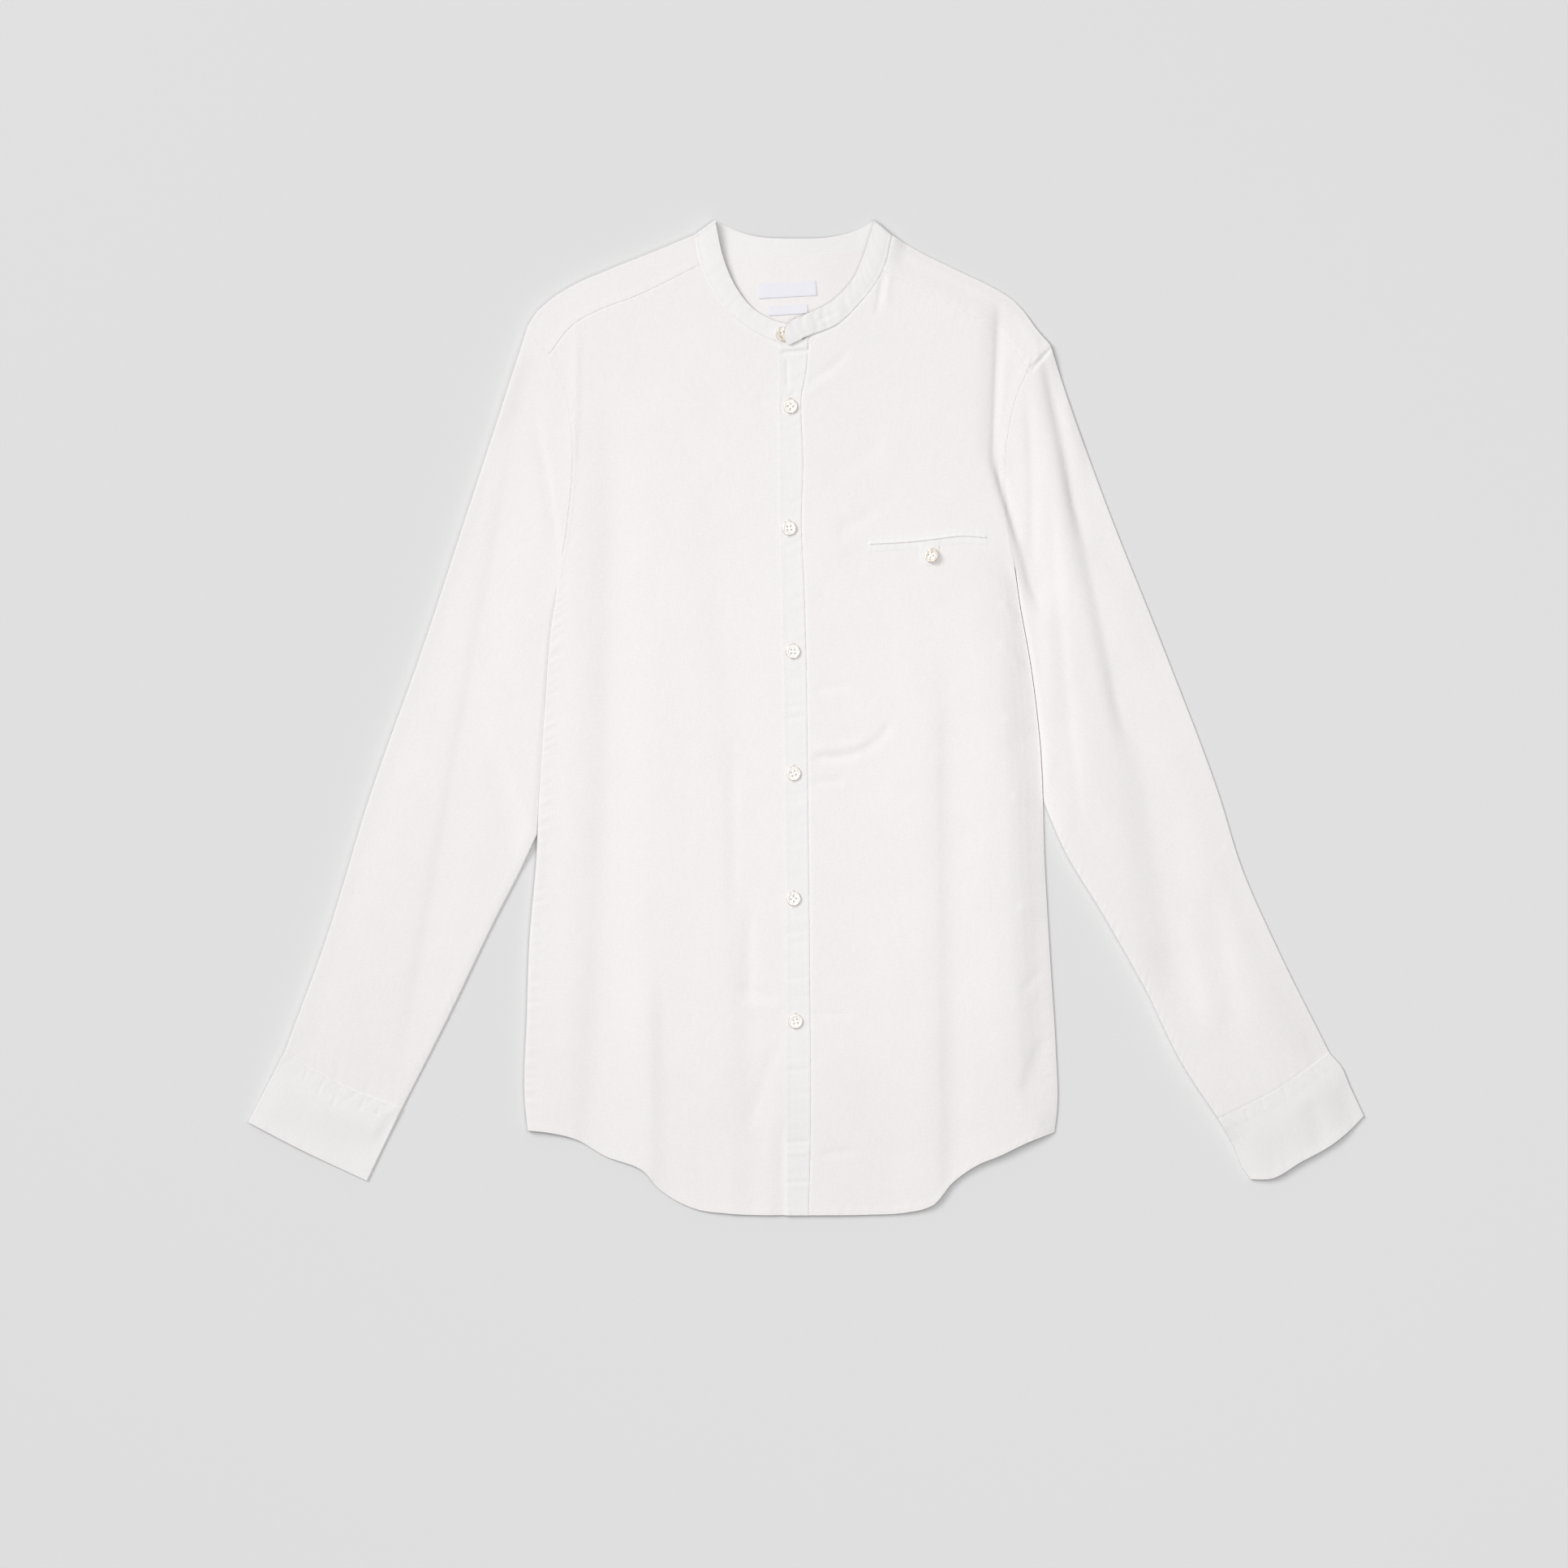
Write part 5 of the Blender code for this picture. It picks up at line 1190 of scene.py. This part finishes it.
def welt(name, slit, low, high, lip, seed):
    """A welt on the left front, between two distances above the slit, and its lip there."""
    reach = np.linspace(high, low, 11)
    plan = along(slit, np.linspace(0, 1, 125))[None] + np.stack([0 * reach, reach], -1)[:, None]
    level = left_front_height(*spots(plan))
    across, down = runs(plan)
    off_slit = np.abs(reach)[:, None] + 0 * down - SLIT / 2
    full = WELT_CLOTH * ease((WELT - off_slit) / 2.5) + lip * (1 - ease(off_slit / 2.2))
    full = full + wavy(across, seed, "welt") * ease((WELT - off_slit) / 2)
    outer = with_height(plan, level + 0.03 + full * ease(off_sides(across) / 2))
    cloth(name, f"pocket_{name}", "trim_linen", outer, with_height(plan, level - 0.15))
    topstitch(outer, STITCHED_AT["welt"], "top" if lip else "bottom", slice(3, -3))


def pocket():
    """Two welts along the chest slit, and the button tab that comes out of it."""
    slit = smooth_line(POCKET_SLIT)
    welt("welt_upper", slit, SLIT / 2, WELT, WELT_LIP, 71)
    welt("welt_lower", slit, -WELT, -SLIT / 2, 0, 72)
    middle = BUTTONS[-1][1] - TAB_OFFSET
    top_y = np.interp(middle, slit[:, 0], slit[:, 1]) - SLIT
    half = TAB_WIDTH / 2
    across, down = np.meshgrid(np.linspace(-half, half, 25), np.linspace(0, TAB_LENGTH, 31))
    into_end = np.clip((down - TAB_LENGTH + half) / half, 0, 0.98)
    plan = np.stack([middle + across * np.sqrt(1 - into_end**2), top_y - down], -1)
    level = left_front_height(*spots(plan)) + 0.05 + WELT_CLOTH - 0.15 * ease((down - WELT) / 6)
    run_a, run_d = runs(plan)
    off = np.minimum(off_sides(run_a), run_d[-1] - run_d)
    full = 0.18 + 0.22 * ease(off / 1.6) + ridges(off, TAB_EDGE)
    outer = with_height(plan, level + full)
    cloth("tab_cloth", "pocket_tab", "trim_linen", outer, with_height(plan, level))
    for end in ("first", "last"):
        topstitch(outer, STITCHED_AT["tab"], end, slice(24))
    return outer


def labels():
    """Blank woven labels, sewn flat on the inside of the yoke."""
    tilt = np.array([[math.cos(LABEL_TILT), math.sin(LABEL_TILT)],
                     [-math.sin(LABEL_TILT), math.cos(LABEL_TILT)]])
    for name, x, y, width, height in LABELS:
        grid = np.stack(np.meshgrid(np.linspace(-0.5, 0.5, 41) * width,
                                    np.linspace(0.5, -0.5, 13) * height), -1)
        plan = grid @ tilt + (x, y)
        across, down = runs(plan)
        off = np.minimum(off_sides(across), np.minimum(down, down[-1] - down))
        low = SHELL + 0.15 + inside_lift(*spots(plan)) + wavy(across, 81, "label")
        low = low + 0.35 * ease(down / height) ** 2
        outer = with_height(plan, low + 0.2 + 0.3 * ease(off / 0.8))
        cloth(f"{name}_blank", name, "label", outer, with_height(plan, low), way=None)
        for end in ("first", "last"):
            topstitch(outer, STITCHED_AT["label"], end, slice(1, -1))


# ------------------------------------------------------------------ buttons, threads
def turned_button():
    """A turned button with a rim, a dished middle and four holes."""
    edit = bmesh.new()
    chain = [edit.verts.new((radius, 0, height)) for radius, height in BUTTON_PROFILE]
    edges = [edit.edges.new(pair) for pair in zip(chain, chain[1:])]
    bmesh.ops.spin(edit, geom=chain + edges, cent=(0, 0, 0), axis=(0, 0, 1),
                   angle=2 * math.pi, steps=48, use_merge=True)
    bmesh.ops.remove_doubles(edit, verts=edit.verts, dist=0.001)
    bmesh.ops.recalc_face_normals(edit, faces=edit.faces)
    drills = bmesh.new()
    for quarter in range(4):
        angle = math.pi / 4 + quarter * math.pi / 2
        made = bmesh.ops.create_cone(drills, segments=14, cap_ends=True, radius1=HOLE_RADIUS,
                                     radius2=HOLE_RADIUS, depth=4 * BUTTON_THICK)
        bmesh.ops.translate(drills, verts=made["verts"],
                            vec=Vector((math.cos(angle), math.sin(angle), 0)) * HOLE_CIRCLE)
    solids = []
    for name, shape in (("turned_blank", edit), ("hole_drills", drills)):
        mesh = bpy.data.meshes.new(name)
        shape.to_mesh(mesh)
        shape.free()
        solids.append(place(name, mesh))
    blank, drill = solids
    cut = blank.modifiers.new("holes", "BOOLEAN")
    cut.object, cut.operation, cut.solver = drill, "DIFFERENCE", "EXACT"
    graph = bpy.context.evaluated_depsgraph_get()
    drilled = bpy.data.meshes.new_from_object(blank.evaluated_get(graph))
    for made in solids:
        bpy.data.objects.remove(made)
    drilled.shade_smooth()
    drilled.set_sharp_from_angle(angle=math.radians(48))
    return drilled


def seat_tilt(height, x, y, reach=4.5):
    """Level and slopes of the cloth under a button."""
    ring = np.linspace(0, 2 * math.pi, 16, endpoint=False)
    level = height(x + reach * np.cos(ring), y + reach * np.sin(ring))
    slopes = [2 * (level * way).mean() / reach for way in (np.cos(ring), np.sin(ring))]
    return level.mean(), *slopes


def buttons(band_right, tab):
    """Eight buttons, each seated on the cloth under it, and the threads in their holes."""
    drilled = turned_button()
    threads, fills = [], []
    pearl, deep_pearl = FINISHES["pearl"], FINISHES["deep_pearl"]
    raised_seats = {
        "button_collar": (float(band_right[:30, :, 2].max()), *COLLAR_BUTTON_SEAT),
        "button_pocket": (float(tab[..., 2].max()), *POCKET_BUTTON_SEAT),
    }
    for name, x, y, turn in BUTTONS:
        if name in raised_seats:
            under, lift, slope_x, slope_y = raised_seats[name]
        else:
            under, slope_x, slope_y = seat_tilt(placket_height, x, y)
            lift = BUTTON_LIFT
        seat = (x, y, under + lift)
        mesh = drilled.copy()
        corners = np.empty(3 * len(mesh.vertices), np.float32)
        mesh.vertices.foreach_get("co", corners)
        lean = Vector((0, 0, 1)).rotation_difference(Vector((-slope_x, -slope_y, 1)))
        placed = np.array(lean.to_matrix() @ Matrix.Rotation(math.radians(turn), 3, "Z")).T
        corners = corners.reshape(-1, 3).astype(float) @ placed + seat
        mesh.vertices.foreach_set("co", (corners * MM).astype(np.float32).ravel())
        piece = add_piece(f"pearl_{name}", mesh, deep_pearl if name in raised_seats else pearl)
        mesh.materials.append(deep_pearl)
        for face in mesh.polygons:
            off_centre = math.hypot(face.center.x - x * MM, face.center.y - y * MM)
            face.material_index = int(off_centre > RIM_RADIUS * MM)
        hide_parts(name)
        run = np.linspace(-1, 1, 9)
        for pair in (-1, 1):
            path = np.stack([run, pair + 0 * run], -1) * HOLE_CIRCLE * math.sqrt(0.5)
            up = THREAD_FOOT + THREAD_BOW * np.cos(run * math.pi / 2) ** 0.5
            threads.append(with_height(path, up) @ placed + seat)
            for hole in path[[0, -1]]:
                fills.append(with_height(np.tile(hole, (2, 1)), np.array(HOLE_FILL)) @ placed + seat)
    return threads, fills


def buttonhole(x, y):
    """The zigzag of one upright buttonhole's two stitched sides, on the placket, and its bars."""
    half = BUTTONHOLE / 2
    side = np.arange(-half, half + 0.01, ZIGZAG_STEP)
    zigzag = np.where(np.arange(len(side)) % 2, *ZIGZAG_REACH)
    turn = np.arange(9)
    lines = [(np.stack([x + way * zigzag, y + side], -1), 0.12) for way in (-1, 1)]
    lines += [(np.stack([x + ZIGZAG_REACH[1] * np.cos(turn * math.pi / 2 + 0.3),
                         y + end + 0.25 * np.sin(turn * 2.1)], -1), 0.14) for end in (-half, half)]
    return [with_height(plan, placket_height(*plan.T) + lift) for plan, lift in lines]


# ------------------------------------------------------------------- node groups
def feed(tree, node, inputs):
    """Gives a node's inputs values or links."""
    for key, value in inputs.items():
        if isinstance(value, bpy.types.NodeSocket):
            tree.links.new(value, node.inputs[key])
        else:
            node.inputs[key].default_value = value
    return node


def put(tree, kind, inputs=None, **settings):
    """Adds a node, sets its options and feeds its inputs."""
    made = tree.nodes.new(kind)
    for key, value in settings.items():
        setattr(made, key, value)
    return feed(tree, made, inputs or {})


def reckon(tree, operation, *values):
    """The result of a sum on values or links."""
    return put(tree, "ShaderNodeMath", dict(enumerate(values)), operation=operation).outputs[0]


def between(tree, share, low, high):
    """A number that a share mixes from two."""
    return put(tree, "ShaderNodeMix", {0: share, 2: low, 3: high}, data_type="FLOAT").outputs[0]


def tinted(tree, share, low, high):
    """A colour that a share mixes from two."""
    return put(tree, "ShaderNodeMix", {0: share, 6: (*low, 1), 7: (*high, 1)},
               data_type="RGBA").outputs[2]


def spread(tree, share, low, high):
    """A share's range from 0 to 1, moved to run from low to high."""
    return put(tree, "ShaderNodeMapRange", {0: share, 3: low, 4: high}).outputs[0]


def bumped(tree, height, strength, distance):
    """A normal that follows small heights, in metres."""
    return put(tree, "ShaderNodeBump", {"Strength": strength, "Distance": distance,
                                        "Height": height}).outputs[0]


def new_group(name, kind, inputs, outputs):
    """An empty node group with its named sockets, and its input and output nodes."""
    group = bpy.data.node_groups.new(name, kind)
    for label, sort, value in inputs:
        socket = group.interface.new_socket(label, in_out="INPUT", socket_type=f"NodeSocket{sort}")
        if value is not None:
            socket.default_value = value
    for label, sort in outputs:
        group.interface.new_socket(label, in_out="OUTPUT", socket_type=f"NodeSocket{sort}")
    return group, group.nodes.new("NodeGroupInput").outputs, group.nodes.new("NodeGroupOutput")


def woven_cloth_group():
    """Plain weave with slubs: a shade and a height that change over the cloth."""
    group, given, result = new_group(
        "woven_cloth", "ShaderNodeTree",
        (("Grain", "Vector", None), ("Threads per metre", "Float", 2100),
         ("Slub share", "Float", 0.6), ("Cloud share", "Float", 0.25)),
        (("Shade", "Float"), ("Height", "Float")))
    grain = given["Grain"]

    def clouds(per_metre, start, detail, rough):
        spot = put(group, "ShaderNodeMapping", {"Vector": grain, "Location": (start, start, start),
                                                "Scale": (*per_metre, 1)})
        return put(group, "ShaderNodeTexNoise", {"Vector": spot.outputs[0], "Scale": 1,
                                                 "Detail": detail, "Roughness": rough}).outputs[0]

    weft, warp, knots = (clouds(per_metre, start, 2, 0.55) for per_metre, start in SLUBS)
    slubs = reckon(group, "ADD", reckon(group, "ADD", weft, warp), knots)
    slub = put(group, "ShaderNodeMapRange", {0: slubs, 1: SLUB_RANGE[0], 2: SLUB_RANGE[1]}).outputs[0]
    turns = reckon(group, "MULTIPLY", given["Threads per metre"], math.pi)
    parts = put(group, "ShaderNodeSeparateXYZ", {0: grain}).outputs
    waves = [reckon(group, "SINE", reckon(group, "MULTIPLY", part, turns)) for part in parts[:2]]
    weave = reckon(group, "MULTIPLY_ADD", reckon(group, "MULTIPLY", *waves), WEAVE_SWING, 0.5)
    shade = between(group, given["Slub share"], weave, slub)
    feed(group, result, {
        "Shade": between(group, given["Cloud share"], shade, clouds(CLOUDS, 0, 3, 0.5)),
        "Height": between(group, 0.55, weave, slub)})
    return group


def new_finish(name):
    """A new material, its node tree and its shader."""
    material = bpy.data.materials.new(name)
    material.use_nodes = True
    return material, material.node_tree, material.node_tree.nodes["Principled BSDF"]


def woven_material(name, low, high, slub, threads=2100, bump=0.3, rough=(0.82, 0.96)):
    """A woven finish between two colours, which reads the cloth's own grain."""
    material, tree, shader = new_finish(name)
    grain = put(tree, "ShaderNodeUVMap", uv_map="grain").outputs[0]
    weave = put(tree, "ShaderNodeGroup", {"Grain": grain, "Threads per metre": threads,
                                          "Slub share": slub}, node_tree=WOVEN).outputs
    feed(tree, shader, {"Base Color": tinted(tree, weave["Shade"], low, high),
                        "Roughness": spread(tree, weave["Shade"], *rough),
                        "Normal": bumped(tree, weave["Height"], bump, 0.00025),
                        "Specular IOR Level": 0.12, "Sheen Weight": 0.06, "Sheen Roughness": 0.6})
    return material


def pearl_material(name, low, middle, high):
    """Polished pearl: pale clouds between three tones, and a clear coat."""
    material, tree, shader = new_finish(name)
    spot = put(tree, "ShaderNodeTexCoord").outputs["Object"]
    cloud = put(tree, "ShaderNodeTexNoise", {"Vector": spot, "Scale": 240, "Detail": 2,
                                             "Distortion": 1.2}).outputs[0]
    bands = put(tree, "ShaderNodeTexWave", {"Vector": spot, "Scale": 90, "Distortion": 9,
                                            "Detail": 2, "Detail Scale": 1.4}).outputs[1]
    ramp = put(tree, "ShaderNodeValToRGB", {0: between(tree, 0.45, cloud, bands)})
    stops = ramp.color_ramp.elements
    for stop, at, colour in ((stops[0], 0.25, low), (stops[1], 0.8, high),
                             (stops.new(0.5), 0.5, middle)):
        stop.position, stop.color = at, (*colour, 1)
    feed(tree, shader, {"Base Color": ramp.outputs[0], "Roughness": spread(tree, cloud, 0.22, 0.38),
                        "Coat Weight": 0.5, "Coat Roughness": 0.12})
    return material


def thread_material():
    """Sewing thread: twisted, matt, a little darker than the cloth it sinks into."""
    material, tree, shader = new_finish("sewing_thread")
    spot = put(tree, "ShaderNodeTexCoord").outputs["Object"]
    twist = put(tree, "ShaderNodeTexWave", {"Vector": spot, "Scale": 1400, "Distortion": 1.5},
                bands_direction="DIAGONAL").outputs[1]
    feed(tree, shader, {"Base Color": tinted(tree, twist, (0.86, 0.84, 0.83), (0.94, 0.92, 0.91)),
                        "Normal": bumped(tree, twist, 0.4, 0.0001),
                        "Roughness": 0.75, "Specular IOR Level": 0.2})
    return material


def stitch_group():
    """Lays one short thread after another along every line that it is given."""
    group, given, result = new_group(
        "stitches_along_seams", "GeometryNodeTree",
        (("Seam lines", "Geometry", None), *((size, "Float", 0.001) for size in STITCH_SIZES),
         ("Seed", "Int", 5), ("Thread", "Material", None)),
        (("Stitches", "Geometry"),))
    pitch, long, wide, high, uneven = (given[size] for size in STITCH_SIZES)
    lines = put(group, "GeometryNodeMeshToCurve", {0: given["Seam lines"]})
    level = put(group, "GeometryNodeSetCurveNormal", {0: lines.outputs[0]}, mode="Z_UP")
    spots = put(group, "GeometryNodeCurveToPoints", {0: level.outputs[0], "Length": pitch},
                mode="LENGTH")
    bead = put(group, "GeometryNodeMeshUVSphere", {"Segments": 6, "Rings": 4, "Radius": 0.5})
    size = put(group, "ShaderNodeCombineXYZ", {0: wide, 1: high, 2: long})
    chance = put(group, "FunctionNodeRandomValue",
                 {2: reckon(group, "SUBTRACT", 1, uneven), 3: reckon(group, "ADD", 1, uneven),
                  "Seed": given["Seed"]}, data_type="FLOAT")
    sized = put(group, "ShaderNodeVectorMath", {0: size.outputs[0], "Scale": chance.outputs[1]},
                operation="SCALE")
    made = put(group, "GeometryNodeInstanceOnPoints",
               {"Points": spots.outputs[0], "Instance": bead.outputs[0],
                "Rotation": spots.outputs["Rotation"], "Scale": sized.outputs[0]})
    for kind in ("RealizeInstances", "SetShadeSmooth", "SetMaterial"):
        made = put(group, f"GeometryNode{kind}", {0: made.outputs[0]})
    feed(group, made, {"Material": given["Thread"]})
    feed(group, result, {"Stitches": made.outputs[0]})
    return group


def stitched(name, lines, group):
    """Runs the stitch group along lines, and keeps the result as a plain mesh."""
    edges, at = [], 0
    for line in lines:
        edges += [(k, k + 1) for k in range(at, at + len(line) - 1)]
        at += len(line)
    paths = bpy.data.meshes.new(f"{name}_paths")
    paths.from_pydata((np.concatenate(lines) * MM).tolist(), edges, [])
    carrier = place(f"{name}_paths", paths)
    modifier = carrier.modifiers.new("stitches", "NODES")
    modifier.node_group = group
    sockets = {item.name: item.identifier for item in group.interface.items_tree
               if item.item_type == "SOCKET" and item.in_out == "INPUT"}
    for label, value in zip(STITCH_SIZES, STITCHES[name]):
        modifier[sockets[label]] = value
    modifier[sockets["Thread"]] = FINISHES["thread"]
    graph = bpy.context.evaluated_depsgraph_get()
    mesh = bpy.data.meshes.new_from_object(carrier.evaluated_get(graph))
    bpy.data.objects.remove(carrier)
    add_piece(name, mesh, None)


# --------------------------------------------------------------------- finishes
WOVEN = woven_cloth_group()
FINISHES = {
    "linen": woven_material("linen", (0.815, 0.792, 0.783), (0.905, 0.880, 0.870), 0.6),
    "trim_linen": woven_material("trim_linen", (0.818, 0.800, 0.797), (0.900, 0.882, 0.878), 0.55),
    "label": woven_material("label_satin", (0.795, 0.788, 0.838), (0.850, 0.843, 0.893), 0.35,
                            threads=3400, bump=0.2, rough=(0.45, 0.6)),
    "pearl": pearl_material("pearl", (0.84, 0.79, 0.73), (0.92, 0.89, 0.85), (0.96, 0.95, 0.93)),
    "deep_pearl": pearl_material("deep_pearl", (0.64, 0.55, 0.45), (0.76, 0.69, 0.59),
                                 (0.87, 0.82, 0.75)),
    "thread": thread_material(),
}


# ------------------------------------------------------------------------ assembly
def build_shirt():
    """All of the shirt's pieces, from the back up."""
    right_neck, left_neck = (smooth_line(ribs)[::-1, :2] for ribs in (BAND_RIGHT, BAND_LEFT))
    right_corner = np.argmin(np.hypot(*(right_neck - YOKE_FRONT_RIGHT[-1]).T))
    left_corner = np.argmin(np.hypot(*(left_neck - YOKE_FRONT_LEFT[-1]).T))
    past_seam = np.argmin(np.abs(left_neck[:, 0] - PLACKET_SEAM[0][0]))
    under_placket = SEAM_LINE - (STAND_REACH, 0)
    under_placket[0] = right_neck[-1]
    back_panel()
    yoke_panel()
    front_panel("right", smooth_line(YOKE_FRONT_RIGHT), right_neck[right_corner:],
                smooth_line(HEM_RIGHT), smooth_line(ARMHOLE_RIGHT[1:]), smooth_line(SIDE_RIGHT),
                under_placket, front_height, 11)
    front_panel("left", smooth_line(YOKE_FRONT_LEFT), left_neck[left_corner:past_seam + 1],
                smooth_line(HEM_LEFT), smooth_line(ARMHOLE_LEFT[1:]), smooth_line(SIDE_LEFT),
                SEAM_LINE, left_front_height, 31)
    placket_strip()
    band_right = collar_band()
    sleeve_and_cuff("right", ARMHOLE_RIGHT, SLEEVE_OUT_RIGHT, SIDE_RIGHT, SLEEVE_IN_RIGHT,
                    CUFF_OUT_RIGHT, CUFF_IN_RIGHT, CUFF_END_BOW_RIGHT, 91)
    sleeve_and_cuff("left", ARMHOLE_LEFT, SLEEVE_OUT_LEFT, SIDE_LEFT, SLEEVE_IN_LEFT,
                    CUFF_OUT_LEFT, CUFF_IN_LEFT, CUFF_END_BOW_LEFT, 101)
    tab = pocket()
    labels()
    threads, fills = buttons(band_right, tab)
    holes = [line for _, x, y, _ in BUTTONS[1:7] for line in buttonhole(x, y)]
    group = stitch_group()
    for name, lines in (("topstitching", SEAMS), ("button_threads", threads),
                        ("thread_ends", fills), ("buttonhole_stitching", holes)):
        stitched(name, lines, group)


# ------------------------------------------------------------- floor, light, camera
def floor_material():
    """A pale floor, a shade deeper where more light falls, so that it reads even."""
    material, tree, shader = new_finish("pale_floor")
    spot = put(tree, "ShaderNodeTexCoord").outputs["Object"]
    across = put(tree, "ShaderNodeVectorMath", {0: spot, 1: FLOOR_EVENING}, operation="DOT_PRODUCT")
    evened = reckon(tree, "MULTIPLY_ADD", across.outputs[1], FLOOR_TONE, FLOOR_TONE)
    away = put(tree, "ShaderNodeVectorMath", {0: spot, 1: (*OVERHEAD_SPOT, 0)}, operation="DISTANCE")
    grown = reckon(tree, "POWER", away.outputs[1], 2)
    grown = reckon(tree, "MULTIPLY_ADD", grown, 1 / OVERHEAD_FADE, 1)
    share = OVERHEAD_LIGHT / (FILL_LIGHT + OVERHEAD_LIGHT + WINDOW_LIGHT)
    lit = reckon(tree, "MULTIPLY_ADD", reckon(tree, "POWER", grown, -2), share, 1 - share)
    least, most = FLOOR_TONE * FLOOR_RANGE[0], FLOOR_TONE * FLOOR_RANGE[1]
    tone = put(tree, "ShaderNodeClamp", {0: reckon(tree, "DIVIDE", evened, lit), 1: least, 2: most})
    feed(tree, shader, {"Base Color": tone.outputs[0], "Roughness": 1, "Specular IOR Level": 0})
    return material


def round_light(name, size, energy, spot):
    """A round area light of a size and at a spot in metres, facing down."""
    light = bpy.data.lights.new(name, "AREA")
    light.shape, light.size, light.energy = "DISK", size, energy
    return place(name, light, spot)


def set_stage():
    """Floor, even room light, a window light from the upper left, one overhead, and camera."""
    mesh = bpy.data.meshes.new("floor")
    mesh.from_pydata([(x * FLOOR_REACH, y * FLOOR_REACH, -FLOOR_DROP)
                      for x, y in ((-1, -1), (1, -1), (1, 1), (-1, 1))], [], [(0, 1, 2, 3)])
    mesh.materials.append(floor_material())
    place("floor", mesh)
    scene = bpy.context.scene
    view = scene.view_settings
    view.view_transform, view.look, view.exposure = "Standard", "None", 0
    scene.world = bpy.data.worlds.new("soft_room")
    scene.world.use_nodes = True
    room = scene.world.node_tree
    feed(room, room.nodes["Background"], {0: (1, 1, 1, 1), 1: FILL_LIGHT})
    ray = Vector((math.cos(LIGHT_TURN) * math.sin(LIGHT_LEAN),
                  math.sin(LIGHT_TURN) * math.sin(LIGHT_LEAN), -math.cos(LIGHT_LEAN)))
    window = round_light("window_light", 2 * LIGHT_AWAY * math.tan(LIGHT_SPREAD / 2),
                         WINDOW_LIGHT * (math.pi * LIGHT_AWAY) ** 2 / math.cos(LIGHT_LEAN),
                         -ray * LIGHT_AWAY)
    window.rotation_euler = ray.to_track_quat("-Z", "Y").to_euler()
    overhead = round_light("overhead_light", 2 * OVERHEAD_RADIUS, OVERHEAD_LIGHT * math.pi ** 2 * (
        OVERHEAD_HEIGHT ** 2 + OVERHEAD_RADIUS ** 2), (*OVERHEAD_SPOT, OVERHEAD_HEIGHT))
    overhead.visible_camera = False
    lens = bpy.data.cameras.new("view_from_above")
    lens.lens, lens.sensor_width, lens.clip_end = LENS, SENSOR, FARTHEST
    scene.camera = place("view_from_above", lens, CAMERA_SPOT)


set_stage()
build_shirt()
